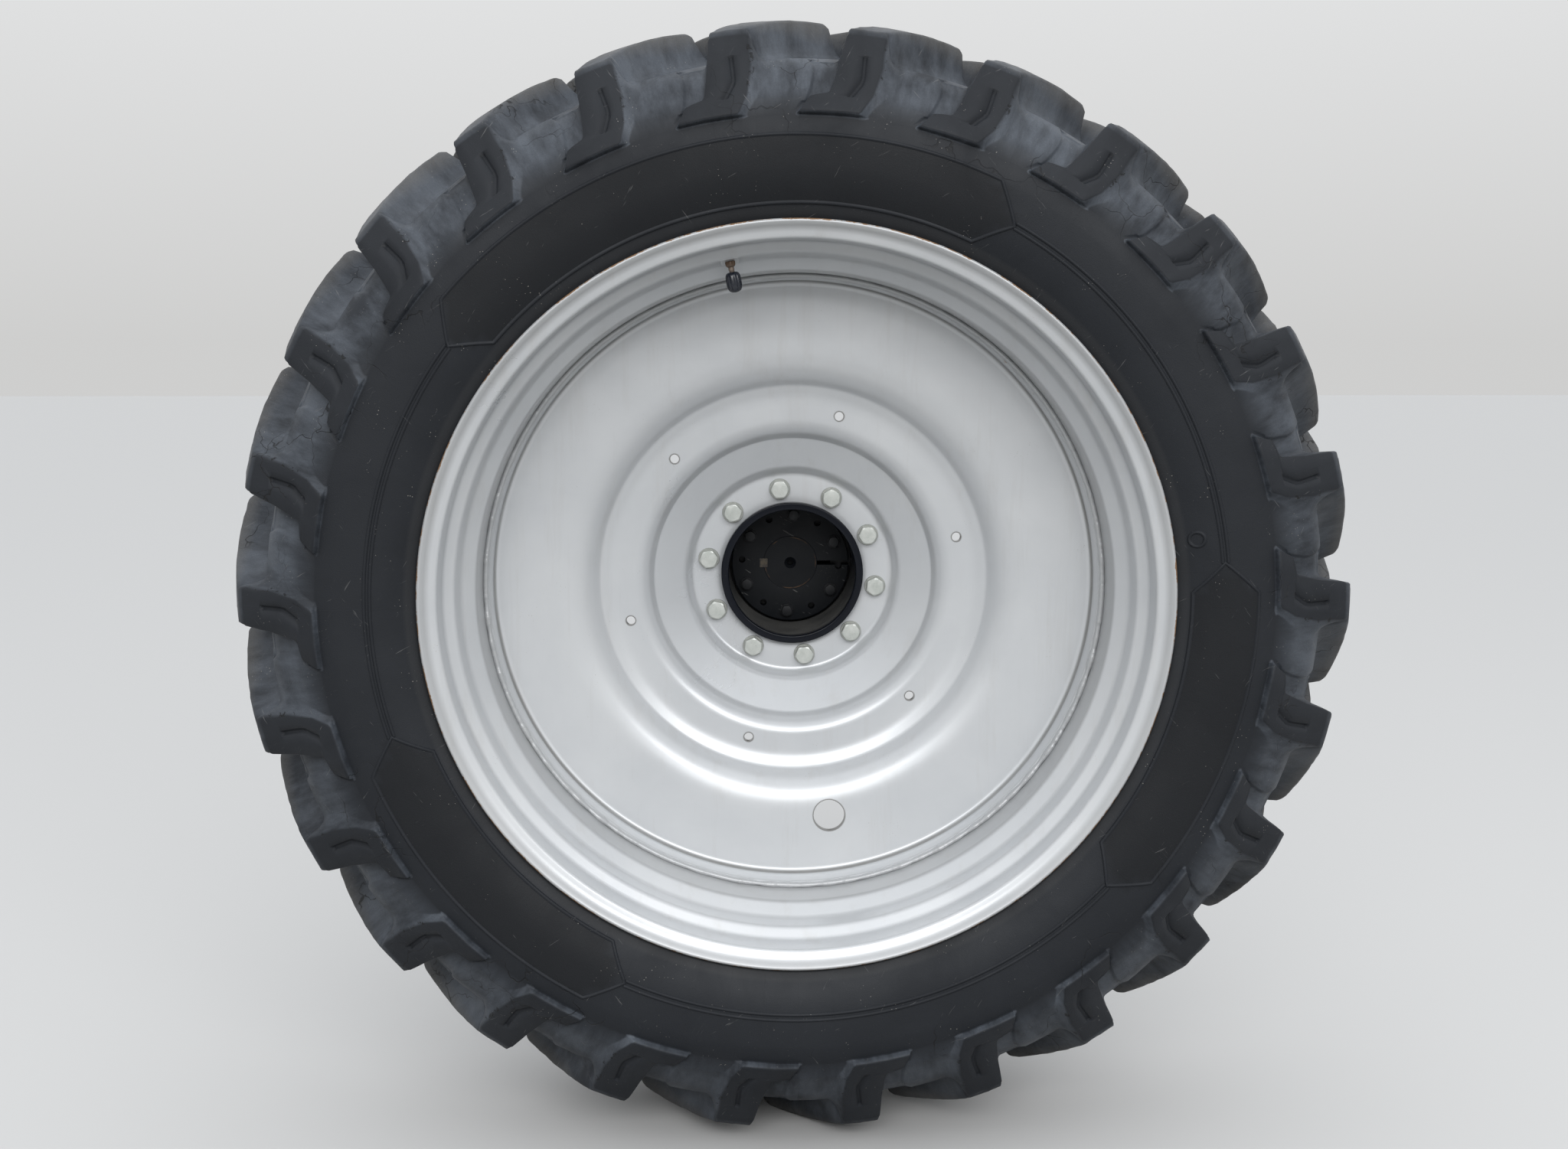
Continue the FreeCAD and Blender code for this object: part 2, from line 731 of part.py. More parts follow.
def axle_housing():
    """Hollow tapered casting that bolts to the axle case and carries the bar axle in two bearings."""
    flange_start = housing_face_station - housing_flange
    boss_end = housing_station + housing_boss_length
    shoulder_end = outer_bearing_end + bearing_shoulder
    shoulder_start = inner_bearing_start - bearing_shoulder
    body = turned([
        # radius, station
        (bearing_radius, housing_station),
        (housing_boss_radius, housing_station),
        (housing_boss_radius, boss_end),
        (housing_root_radius, flange_start),
        (housing_flange_radius, flange_start),
        (housing_flange_radius, housing_face_station),
        (bearing_radius, housing_face_station),
        (bearing_radius, inner_bearing_start),
        (bearing_shoulder_radius, inner_bearing_start),
        (bearing_shoulder_radius, shoulder_start),
        (housing_root_radius - housing_wall, shoulder_start),
        (housing_boss_radius - housing_wall, boss_end),
        (housing_boss_radius - housing_wall, shoulder_end),
        (bearing_shoulder_radius, shoulder_end),
        (bearing_shoulder_radius, outer_bearing_end),
        (bearing_radius, outer_bearing_end),
    ])
    rib_outline = [
        FreeCAD.Vector(0, at_station(boss_end), housing_boss_radius - housing_wall / 2),
        FreeCAD.Vector(0, at_station(boss_end), housing_boss_radius),
        FreeCAD.Vector(0, at_station(flange_start + 1), housing_flange_radius - housing_flange),
        FreeCAD.Vector(0, at_station(flange_start + 1), housing_root_radius - housing_wall / 2),
    ]
    rib = flat_face(rib_outline).extrude(FreeCAD.Vector(housing_rib, 0, 0))
    rib.translate(FreeCAD.Vector(-housing_rib / 2, 0, 0))
    body = body.fuse(around(rib, housing_rib_count)).removeSplitter()
    bolt_hole = axial_cylinder(
        housing_bolt_radius, flange_start - 1, housing_face_station + 1, housing_bolt_circle / 2
    )
    screw_hole = axial_cylinder(
        retainer_screw_radius + seat_clearance,
        housing_station - 1,
        housing_station + retainer_screw_depth,
        retainer_screw_distance,
    )
    holes = around(bolt_hole, housing_bolt_count, 180.0 / housing_bolt_count)
    holes += around(screw_hole, retainer_screw_count)
    return body.cut(holes)


def bearing_ring(first_station):
    return turned([
        # radius, station
        (axle_radius + running_clearance, first_station),
        (bearing_radius, first_station),
        (bearing_radius, first_station + bearing_width),
        (axle_radius + running_clearance, first_station + bearing_width),
    ])


def bearing_retainer():
    """Ring screwed to the housing's end that holds the outer bearing and the seal."""
    plate = turned([
        # radius, station
        (seal_radius, retainer_station),
        (housing_boss_radius, retainer_station),
        (housing_boss_radius, housing_station),
        (seal_radius, housing_station),
    ])
    screw_hole = axial_cylinder(
        retainer_screw_radius + seat_clearance,
        retainer_station - 1,
        housing_station + 1,
        retainer_screw_distance,
    )
    return plate.cut(around(screw_hole, retainer_screw_count))


def retainer_screws():
    head = axial_hexagon(
        retainer_screw_head_flats,
        retainer_station - retainer_screw_head,
        retainer_station,
        retainer_screw_distance,
    )
    last_station = housing_station + retainer_screw_depth - 1
    shank = axial_cylinder(
        retainer_screw_radius, retainer_station, last_station, retainer_screw_distance
    )
    screw = head.fuse(shank).removeSplitter()
    return Part.makeCompound(around(screw, retainer_screw_count))


def axle_seal():
    return turned([
        # radius, station
        (axle_radius + running_clearance, retainer_station),
        (seal_radius, retainer_station),
        (seal_radius, housing_station),
        (axle_radius + running_clearance, housing_station),
    ])


pieces = {
    "tyre": tyre(),
    "rim": rim(),
    "wheel_disc": wheel_disc(),
    "hub_casting": hub_casting(),
    "wedge_sleeve": wedge_sleeve(),
    "sleeve_screws": sleeve_screws(),
    "axle_shaft": axle_shaft(),
    "axle_key": axle_key(),
    "wheel_bolts": wheel_bolts(),
    "wheel_washers": wheel_washers(),
    "valve_stem": valve_stem(),
    "valve_nut": valve_nut_piece(),
    "valve_cap": valve_cap(),
    "axle_housing": axle_housing(),
    "outer_bearing": bearing_ring(housing_station),
    "inner_bearing": bearing_ring(inner_bearing_start),
    "bearing_retainer": bearing_retainer(),
    "retainer_screws": retainer_screws(),
    "axle_seal": axle_seal(),
}

os.makedirs("parts", exist_ok=True)
for name, piece in pieces.items():
    piece.exportStep("parts/" + name + ".step")
    print(name, len(piece.Solids), round(piece.Volume / 1000.0), "cm3")
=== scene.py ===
import bpy
import math
import random
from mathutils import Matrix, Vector, noise


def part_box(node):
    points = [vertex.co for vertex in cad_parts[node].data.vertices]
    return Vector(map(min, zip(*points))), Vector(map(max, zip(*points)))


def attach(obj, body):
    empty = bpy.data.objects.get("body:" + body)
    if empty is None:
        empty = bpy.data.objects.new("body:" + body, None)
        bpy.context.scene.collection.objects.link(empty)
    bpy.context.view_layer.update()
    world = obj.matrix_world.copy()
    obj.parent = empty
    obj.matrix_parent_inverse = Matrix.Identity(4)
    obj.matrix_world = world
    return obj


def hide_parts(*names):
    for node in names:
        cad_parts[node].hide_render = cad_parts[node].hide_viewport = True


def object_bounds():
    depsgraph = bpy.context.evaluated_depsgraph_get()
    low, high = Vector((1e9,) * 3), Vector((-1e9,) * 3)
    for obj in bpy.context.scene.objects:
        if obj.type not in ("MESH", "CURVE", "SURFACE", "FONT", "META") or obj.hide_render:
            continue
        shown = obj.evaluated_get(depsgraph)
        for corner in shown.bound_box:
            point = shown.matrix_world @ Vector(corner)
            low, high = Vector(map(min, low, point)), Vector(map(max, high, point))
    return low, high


# Rear wheel of a farm tractor on its axle end, in metres. The wheel turns about the Y axis and its
# outer side faces -Y. A station is a distance inboard from the rim's outer edge, and clock angles
# are in degrees clockwise from the top, seen from outside.
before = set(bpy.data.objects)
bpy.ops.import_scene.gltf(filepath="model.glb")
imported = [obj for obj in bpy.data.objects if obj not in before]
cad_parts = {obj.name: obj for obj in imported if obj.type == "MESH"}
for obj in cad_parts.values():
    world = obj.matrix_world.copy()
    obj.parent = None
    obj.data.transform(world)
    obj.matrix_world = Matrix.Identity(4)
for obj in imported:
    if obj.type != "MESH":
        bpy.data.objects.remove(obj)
cad_low, cad_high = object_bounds()
random.seed(7)


# Rim
# Wide steel rim, rolled from sheet into soft steps that fall from the lips to the well, and painted
# silver grey. The tyre's beads sit on its flat bands, and the lips hold them.

rim_low, rim_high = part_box("rim")
outer_edge = rim_low.y
rim_width = rim_high.y - rim_low.y
rim_middle = rim_width / 2
rim_sheet = 0.0075
rim_line = [
    # radius, station, how far the bend reaches
    (0.6548, 0.0012, 0.0),
    (0.6445, 0.0120, 0.010),
    (0.6275, 0.0190, 0.006),
    (0.6275, 0.067, 0.007),
    (0.607, 0.081, 0.006),
    (0.603, 0.114, 0.008),
    (0.578, 0.140, 0.008),
    (0.578, rim_middle, 0.0),
]


def place(radius, station, clock):
    angle = math.radians(clock)
    return Vector((radius * math.sin(angle), outer_edge + station, radius * math.cos(angle)))


def bent_line(corners, steps=7):
    """A (radius, station) line whose corners are rounded off, each as far as its bend reaches."""
    line = [Vector(corners[0][:2])]
    for before, corner, after in zip(corners, corners[1:], corners[2:]):
        middle = Vector(corner[:2])
        to_before = Vector(before[:2]) - middle
        to_after = Vector(after[:2]) - middle
        reach = min(corner[2], to_before.length * 0.48, to_after.length * 0.48)
        start = middle + to_before.normalized() * reach
        end = middle + to_after.normalized() * reach
        for step in range(steps + 1):
            part = step / steps
            line.append(start.lerp(middle, part).lerp(middle.lerp(end, part), part))
    line.append(Vector(corners[-1][:2]))
    return line


def sheet_loop(line, thickness):
    """The closed outline of a sheet with rounded edges, whose visible side is the line."""
    back = []
    directions = []
    for index, point in enumerate(line):
        direction = (line[min(index + 1, len(line) - 1)] - line[max(index - 1, 0)]).normalized()
        directions.append(direction)
        back.append(point + Vector((direction.y, -direction.x)) * thickness)
    edge = ((0.1, 0.2), (0.3, 0.34), (0.7, 0.34), (0.9, 0.2))
    far_edge = [line[-1].lerp(back[-1], part) + directions[-1] * thickness * rise for part, rise in edge]
    near_edge = [back[0].lerp(line[0], part) - directions[0] * thickness * rise for part, rise in edge]
    return line + far_edge + back[::-1] + near_edge


def mesh_piece(name, points, faces, sharp_angle=38):
    mesh = bpy.data.meshes.new(name)
    mesh.from_pydata(points, [], faces)
    mesh.validate()
    mesh.shade_smooth()
    mesh.set_sharp_from_angle(angle=math.radians(sharp_angle))
    piece = bpy.data.objects.new(name, mesh)
    bpy.context.scene.collection.objects.link(piece)
    return piece


def turned_piece(name, loop, steps=240):
    """A closed (radius, station) outline turned about the axle, with its faces outward."""
    count = len(loop)
    turning = sum(loop[index - 1][0] * loop[index][1] - loop[index][0] * loop[index - 1][1] for index in range(count))
    if turning < 0:
        loop = loop[::-1]
    points = []
    faces = []
    for step in range(steps):
        points += [place(point[0], point[1], 360 * step / steps) for point in loop]
        for index in range(count):
            after = (index + 1) % count
            here = step * count
            there = (step + 1) % steps * count
            faces.append((here + index, there + index, there + after, here + after))
    return mesh_piece(name, points, faces)


def finish_piece(piece, material, slot, body, *nodes):
    """Gives a piece its material and body, and the CAD nodes that it stands for."""
    piece.data.materials.clear()
    piece.data.materials.append(material)
    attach(piece, body)
    if nodes:
        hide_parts(*nodes)


def make_material(name):
    material = bpy.data.materials.new(name)
    material.use_nodes = True
    return material, material.node_tree, material.node_tree.nodes["Principled BSDF"]


def add_node(tree, kind, values=None, links=None, **settings):
    """A shader node with its settings, fixed inputs and linked inputs."""
    node = tree.nodes.new("ShaderNode" + kind)
    for setting, value in settings.items():
        setattr(node, setting, value)
    for socket, value in (values or {}).items():
        node.inputs[socket].default_value = value
    for socket, source in (links or {}).items():
        tree.links.new(source, node.inputs[socket])
    return node


def blend_colours(tree, mask, first, second):
    """A colour that goes from the first to the second with the mask. Each is a socket or a colour."""
    node = add_node(tree, "Mix", data_type="RGBA", links={0: mask})
    for socket, colour in ((6, first), (7, second)):
        if isinstance(colour, tuple):
            node.inputs[socket].default_value = (*colour, 1.0)
        else:
            tree.links.new(colour, node.inputs[socket])
    return node.outputs[2]


def spread(tree, source, low, high, to_low=0.0, to_high=1.0):
    node = add_node(
        tree,
        "MapRange",
        {"From Min": low, "From Max": high, "To Min": to_low, "To Max": to_high},
        {"Value": source},
    )
    return node.outputs["Result"]


def maths(tree, operation, first, second=0.0):
    node = add_node(tree, "Math", operation=operation)
    for index, value in enumerate((first, second)):
        if isinstance(value, (int, float)):
            node.inputs[index].default_value = value
        else:
            tree.links.new(value, node.inputs[index])
    return node.outputs[0]


def make_group(name, inputs, outputs):
    """A node group with number inputs (name, default) and number outputs."""
    group = bpy.data.node_groups.new(name, "ShaderNodeTree")
    for label, default in inputs:
        socket = group.interface.new_socket(label, in_out="INPUT", socket_type="NodeSocketFloat")
        socket.default_value = default
    for label in outputs:
        group.interface.new_socket(label, in_out="OUTPUT", socket_type="NodeSocketFloat")
    return group, group.nodes.new("NodeGroupInput").outputs, group.nodes.new("NodeGroupOutput").inputs


def use_group(tree, group, **values):
    node = tree.nodes.new("ShaderNodeGroup")
    node.node_tree = group
    for label, value in values.items():
        node.inputs[label.replace("_", " ")].default_value = value
    return node.outputs


# Weather on every surface: soft clouds of dirt, fine grain, and small specks that come in patches.
weather, weather_in, weather_out = make_group(
    "weather",
    [("Cloud Scale", 3.0), ("Grain Scale", 220.0), ("Speck Scale", 90.0), ("Speck Size", 0.1)],
    ["Cloud", "Grain", "Specks"],
)
weather_place = add_node(weather, "TexCoord").outputs["Object"]
cloud = add_node(
    weather,
    "TexNoise",
    {"Detail": 6.0, "Roughness": 0.6, "Distortion": 0.4},
    {"Vector": weather_place, "Scale": weather_in["Cloud Scale"]},
)
grain = add_node(
    weather,
    "TexNoise",
    {"Detail": 4.0, "Roughness": 0.65},
    {"Vector": weather_place, "Scale": weather_in["Grain Scale"]},
)
specks = add_node(weather, "TexVoronoi", {}, {"Vector": weather_place, "Scale": weather_in["Speck Scale"]})
patches = add_node(weather, "TexNoise", {"Scale": 19.0, "Detail": 1.0}, {"Vector": weather_place})
speck_limit = maths(weather, "MULTIPLY", spread(weather, patches.outputs["Fac"], 0.5, 0.75), weather_in["Speck Size"])
weather.links.new(cloud.outputs["Fac"], weather_out["Cloud"])
weather.links.new(grain.outputs["Fac"], weather_out["Grain"])
weather.links.new(maths(weather, "LESS_THAN", specks.outputs["Distance"], speck_limit), weather_out["Specks"])

# Where a surface lies about the axle: its distance from it, its clock part of a turn, and its station.
wheel_place, _, wheel_place_out = make_group("wheel_place", [], ["Radius", "Turn", "Station"])
position = add_node(wheel_place, "TexCoord").outputs["Object"]
parts = add_node(wheel_place, "SeparateXYZ", links={0: position}).outputs
flat_place = add_node(wheel_place, "VectorMath", {1: (1.0, 0.0, 1.0)}, {0: position}, operation="MULTIPLY")
from_axle = add_node(wheel_place, "VectorMath", links={0: flat_place.outputs[0]}, operation="LENGTH").outputs["Value"]
turn = maths(wheel_place, "DIVIDE", maths(wheel_place, "ARCTAN2", parts["X"], parts["Z"]), 2 * math.pi)
wheel_place.links.new(from_axle, wheel_place_out["Radius"])
wheel_place.links.new(turn, wheel_place_out["Turn"])
wheel_place.links.new(maths(wheel_place, "SUBTRACT", parts["Y"], outer_edge), wheel_place_out["Station"])

# The disc's holes, here because the paint round their cut edges is painted darker as shade.
weight_hole_circle = 0.650
weight_hole_radius = 0.0085
weight_hole_clock = 15.6
hand_hole_radius = 0.030
hand_hole_distance = 0.4601
hand_hole_clock = 171.5

# Silver grey satin paint. Dirt runs down it, rust shows where stones chipped the lip and along the
# weld, and it is a little dull and warm where dust lies. Shade is painted darker into its corners, well, lip and hole
# edges.
rim_paint, tree, shader = make_material("rim_paint")
paint = use_group(tree, weather, Cloud_Scale=2.6, Grain_Scale=320.0, Speck_Scale=170.0, Speck_Size=0.11)
about_axle = use_group(tree, wheel_place)
position = add_node(tree, "TexCoord").outputs["Object"]
clean = blend_colours(tree, spread(tree, paint["Cloud"], 0.3, 0.72), (0.545, 0.562, 0.580), (0.625, 0.638, 0.650))
streak_place = add_node(tree, "Mapping", {"Scale": (9.0, 9.0, 0.7)}, {"Vector": position})
streaks = add_node(tree, "TexNoise", {"Scale": 2.5, "Detail": 7.0, "Roughness": 0.7}, {"Vector": streak_place.outputs[0]})
streaked = blend_colours(tree, spread(tree, streaks.outputs["Fac"], 0.54, 0.8, 0.0, 0.28), clean, (0.42, 0.40, 0.37))
speckled = blend_colours(tree, maths(tree, "MULTIPLY", paint["Specks"], 0.5), streaked, (0.22, 0.18, 0.14))
chips = add_node(tree, "TexNoise", {"Scale": 34.0, "Detail": 8.0, "Roughness": 0.75}, {"Vector": position})
chip_patches = add_node(tree, "TexNoise", {"Scale": 4.0, "Detail": 2.0}, {"Vector": position})
lip_share = spread(tree, about_axle["Radius"], 0.6555, 0.6594, 0.0, 0.29)
from_weld = maths(tree, "ABSOLUTE", maths(tree, "SUBTRACT", about_axle["Station"], 0.2225))
weld_share = spread(tree, from_weld, 0.012, 0.003, 0.0, 0.19)
chip_place = maths(tree, "ADD", lip_share, maths(tree, "MULTIPLY", weld_share, spread(tree, chip_patches.outputs["Fac"], 0.48, 0.62)))
chip_mask = spread(tree, maths(tree, "ADD", chips.outputs["Fac"], chip_place), 0.76, 0.80)
rust = blend_colours(tree, paint["Grain"], (0.13, 0.06, 0.025), (0.33, 0.21, 0.12))
# Painted shade: the paint is darkened in the corner where the disc's skirt meets the rim's well.
corner = maths(tree, "ADD", maths(tree, "ABSOLUTE", maths(tree, "SUBTRACT", about_axle["Station"], 0.2700)), maths(tree, "ABSOLUTE", maths(tree, "SUBTRACT", about_axle["Radius"], 0.5655)))
corner_shade = maths(tree, "MULTIPLY", spread(tree, corner, 0.0085, 0.0030), spread(tree, paint["Cloud"], 0.25, 0.6, 0.35, 0.75))
# Painted shade: the rim's well beside the weld is darkened.
well_shade = maths(tree, "MULTIPLY", spread(tree, about_axle["Radius"], 0.5815, 0.5785, 0.0, 0.30), spread(tree, about_axle["Station"], 0.228, 0.210))
# Painted shade: the lip's outer slope is darkened towards its nose.
lip_shade = maths(tree, "MULTIPLY", spread(tree, about_axle["Radius"], 0.6400, 0.6490, 0.0, 0.26), spread(tree, about_axle["Station"], 0.030, 0.015))
hole_turn = maths(tree, "PINGPONG", maths(tree, "SUBTRACT", about_axle["Turn"], weight_hole_clock / 360), 1 / 12)
from_weight_hole = add_node(tree, "CombineXYZ", links={
    "X": maths(tree, "MULTIPLY", hole_turn, math.pi * weight_hole_circle),
    "Y": maths(tree, "SUBTRACT", about_axle["Radius"], weight_hole_circle / 2),
})
from_hand_hole = add_node(tree, "VectorMath", {1: place(hand_hole_distance, 0.0, hand_hole_clock)}, {0: position}, operation="SUBTRACT")
from_hand_hole = add_node(tree, "VectorMath", {1: (1.0, 0.0, 1.0)}, {0: from_hand_hole.outputs[0]}, operation="MULTIPLY")
# Painted shade: dark rings in the paint round the holes' cut edges.
hole_shade = 0.0
for offset, radius in ((from_weight_hole, weight_hole_radius), (from_hand_hole, hand_hole_radius)):
    away = add_node(tree, "VectorMath", links={0: offset.outputs[0]}, operation="LENGTH").outputs["Value"]
    hole_shade = maths(tree, "MAXIMUM", hole_shade, spread(tree, away, radius + 0.0030, radius + 0.0010, 0.0, 0.85))
# All the painted shade above darkens the paint towards one grey.
painted_shade = maths(tree, "MAXIMUM", hole_shade, maths(tree, "MAXIMUM", corner_shade, maths(tree, "MAXIMUM", well_shade, lip_shade)))
shaded_paint = blend_colours(tree, painted_shade, speckled, (0.155, 0.150, 0.138))
tree.links.new(blend_colours(tree, chip_mask, shaded_paint, rust), shader.inputs["Base Color"])
gloss = spread(tree, paint["Cloud"], 0.3, 0.75, 0.27, 0.36)
tree.links.new(maths(tree, "ADD", gloss, maths(tree, "MULTIPLY", chip_mask, 0.4)), shader.inputs["Roughness"])
tree.links.new(spread(tree, chip_mask, 0.0, 1.0, 0.25, 0.0), shader.inputs["Metallic"])
paint_height = maths(tree, "SUBTRACT", maths(tree, "MULTIPLY", paint["Grain"], 0.12), maths(tree, "MULTIPLY", chip_mask, 0.35))
paint_bump = add_node(tree, "Bump", {"Strength": 0.3, "Distance": 0.0006}, {"Height": paint_height})
tree.links.new(paint_bump.outputs["Normal"], shader.inputs["Normal"])

rim_half = bent_line(rim_line)
rim_other_half = [Vector((point.x, rim_width - point.y)) for point in reversed(rim_half[:-1])]
rim_piece = turned_piece("rolled_rim", sheet_loop(rim_half + rim_other_half, rim_sheet), 300)
finish_piece(rim_piece, rim_paint, "rim_paint", "wheel", "rim")


# Valve
# Brass stem clamped by a nut through a flat square seat pressed up from the rim's ledge, with a
# ribbed cap of black plastic screwed over its end. The seat is painted with the rim.

valve_clock = -11.2
valve_station = 0.0975
valve_seat_radius = 0.6045
valve_seat_half = 0.0160


def valve_point(across, station_offset, radius):
    """A point about the valve's line, which runs from the ledge towards the axle."""
    middle = place(radius, valve_station + station_offset, valve_clock)
    sideways = place(1.0, 0.0, valve_clock + 90) - place(0.0, 0.0, 0.0)
    return middle + sideways * across


def valve_turned(name, rows, steps=48, ribs=0, rib_depth=0.0):
    """(own radius, distance from the axle) rows turned about the valve's line."""
    points = []
    faces = []
    for own, distance in rows:
        for step in range(steps):
            angle = 2 * math.pi * step / steps
            ribbed = own * (1 - rib_depth * (0.5 + 0.5 * math.cos(ribs * angle))) if ribs else own
            points.append(valve_point(ribbed * math.cos(angle), ribbed * math.sin(angle), distance))
    for row in range(len(rows) - 1):
        for step in range(steps):
            after = (step + 1) % steps
            here = row * steps
            faces.append((here + step, here + steps + step, here + steps + after, here + after))
    faces.append(tuple(range(steps)))
    faces.append(tuple(range((len(rows) - 1) * steps, len(rows) * steps))[::-1])
    return mesh_piece(name, points, faces)


seat_points = []
for half, radius in (
    (valve_seat_half + 0.0012, valve_seat_radius + 0.004),
    (valve_seat_half + 0.0006, valve_seat_radius - 0.0006),
    (valve_seat_half - 0.0006, valve_seat_radius - 0.0016),
):
    for across, offset in ((-1, -1), (1, -1), (1, 1), (-1, 1)):
        lean = 0.0042 * offset
        seat_points.append(valve_point(across * half, offset * half, radius - lean))
seat_faces = [(11, 10, 9, 8)]
for row in (0, 4):
    for corner in range(4):
        after = (corner + 1) % 4
        seat_faces.append((row + corner, row + 4 + corner, row + 4 + after, row + after))
valve_seat = mesh_piece("valve_seat", seat_points, seat_faces, 20)

# Dull brass, brown where water stands in the threads and around the nut.
valve_brass, tree, shader = make_material("valve_brass")
brass = use_group(tree, weather, Cloud_Scale=60.0, Grain_Scale=900.0, Speck_Scale=500.0, Speck_Size=0.2)
about_axle = use_group(tree, wheel_place)
stained = maths(tree, "ADD", spread(tree, about_axle["Radius"], 0.583, 0.600), maths(tree, "SUBTRACT", brass["Cloud"], 0.5))
tree.links.new(blend_colours(tree, stained, (0.36, 0.31, 0.27), (0.085, 0.050, 0.028)), shader.inputs["Base Color"])
tree.links.new(spread(tree, stained, 0.0, 1.0, 0.9, 0.2), shader.inputs["Metallic"])
tree.links.new(spread(tree, brass["Grain"], 0.3, 0.7, 0.38, 0.6), shader.inputs["Roughness"])
brass_bump = add_node(tree, "Bump", {"Strength": 0.3, "Distance": 0.0003}, {"Height": brass["Grain"]})
tree.links.new(brass_bump.outputs["Normal"], shader.inputs["Normal"])

finish_piece(valve_seat, rim_paint, "rim_paint", "wheel")
stem_rows = [(0.0092, 0.6195), (0.0092, 0.6165), (0.0046, 0.616), (0.0048, 0.596), (0.0052, 0.590)]
for thread in range(12):
    stem_rows += [(0.0050, 0.589 - 0.0018 * thread), (0.0044, 0.5881 - 0.0018 * thread)]
stem_rows.append((0.0030, 0.5625))
finish_piece(valve_turned("valve_stem_body", stem_rows), valve_brass, "valve_brass", "wheel", "valve_stem")
nut_rows = [(0.0092, 0.6040), (0.0098, 0.6015), (0.0094, 0.5980), (0.0080, 0.5955), (0.0056, 0.5942)]
finish_piece(valve_turned("valve_hex_nut", nut_rows, 48, 6, 0.13), valve_brass, "valve_brass", "wheel", "valve_nut")

# Black moulded plastic with a soft shine, dusty on its shoulders.
cap_plastic, tree, shader = make_material("cap_plastic")
moulded = use_group(tree, weather, Cloud_Scale=70.0, Grain_Scale=1200.0, Speck_Scale=600.0, Speck_Size=0.2)
tree.links.new(blend_colours(tree, spread(tree, moulded["Cloud"], 0.45, 0.75), (0.005, 0.0075, 0.015), (0.016, 0.019, 0.027)), shader.inputs["Base Color"])
tree.links.new(spread(tree, moulded["Cloud"], 0.35, 0.7, 0.16, 0.34), shader.inputs["Roughness"])
moulded_bump = add_node(tree, "Bump", {"Strength": 0.15, "Distance": 0.0003}, {"Height": moulded["Grain"]})
tree.links.new(moulded_bump.outputs["Normal"], shader.inputs["Normal"])
cap_rows = [
    (0.0062, 0.5855), (0.0086, 0.5852), (0.0110, 0.5836), (0.0128, 0.5806), (0.0137, 0.5765), (0.0138, 0.5660),
    (0.0134, 0.5610), (0.0122, 0.5562), (0.0100, 0.5530), (0.0068, 0.5511), (0.0030, 0.5502), (0.0008, 0.5500),
]
finish_piece(valve_turned("valve_ribbed_cap", cap_rows, 96, 12, 0.07), cap_plastic, "cap_plastic", "wheel", "valve_cap")


# Wheel disc
# Dished steel plate, pressed in large soft rolls from the skirt in the rim's well to the seat on the
# hub. It has a hand hole in its flat outer apron and six small holes for a bolted weight.

disc_plate = 0.011
disc_line = [
    # radius, station, how far the bend reaches
    (0.567, 0.223, 0.0),
    (0.567, 0.2700, 0.005),
    (0.5600, 0.2758, 0.006),
    (0.436, 0.2795, 0.030),
    (0.406, 0.2905, 0.016),
    (0.3865, 0.3065, 0.012),
    (0.3725, 0.3255, 0.004),
    (0.347, 0.338, 0.018),
    (0.305, 0.338, 0.010),
    (0.291, 0.3445, 0.008),
    (0.279, 0.3560, 0.008),
    (0.2706, 0.3710, 0.003),
    (0.2095, 0.4110, 0.009),
    (0.1975, 0.433, 0.009),
    (0.141, 0.433, 0.0),
]


def cut_away(piece, cutter):
    """Takes the cutter's shape out of the piece."""
    cut = piece.modifiers.new("cut", "BOOLEAN")
    cut.object = cutter
    cut.solver = "EXACT"
    bpy.context.view_layer.update()
    shown = piece.evaluated_get(bpy.context.evaluated_depsgraph_get())
    mesh = bpy.data.meshes.new_from_object(shown)
    piece.modifiers.clear()
    piece.data = mesh
    mesh.shade_smooth()
    mesh.set_sharp_from_angle(angle=math.radians(32))
    bpy.data.objects.remove(cutter)


def hole_cutters(holes, first, last, steps=36):
    """Plugs along the axle's direction for (radius, distance from the axle, clock) holes."""
    points = []
    faces = []
    for radius, distance, clock in holes:
        start = len(points)
        for station in (first, last):
            centre = place(distance, station, clock)
            for step in range(steps):
                angle = 2 * math.pi * step / steps
                points.append(centre + Vector((radius * math.cos(angle), 0.0, -radius * math.sin(angle))))
        for step in range(steps):
            after = (step + 1) % steps
            faces.append((start + step, start + after, start + steps + after, start + steps + step))
        faces.append(tuple(range(start + steps - 1, start - 1, -1)))
        faces.append(tuple(range(start + steps, start + 2 * steps)))
    return mesh_piece("hole_cutters", points, faces)


disc_piece = turned_piece("pressed_disc", sheet_loop(bent_line(disc_line, 8), disc_plate), 288)
disc_holes = [(hand_hole_radius, hand_hole_distance, hand_hole_clock)]
for index in range(6):
    disc_holes.append((weight_hole_radius, weight_hole_circle / 2, weight_hole_clock + 60 * index))
cut_away(disc_piece, hole_cutters(disc_holes, 0.25, 0.40))
finish_piece(disc_piece, rim_paint, "rim_paint", "wheel", "wheel_disc")


# Weld
# One run of weld closes the corner between the disc's skirt and the rim's well all the way round.
# It is painted with the wheel, and its ripples and a few rusty spots show through the paint.

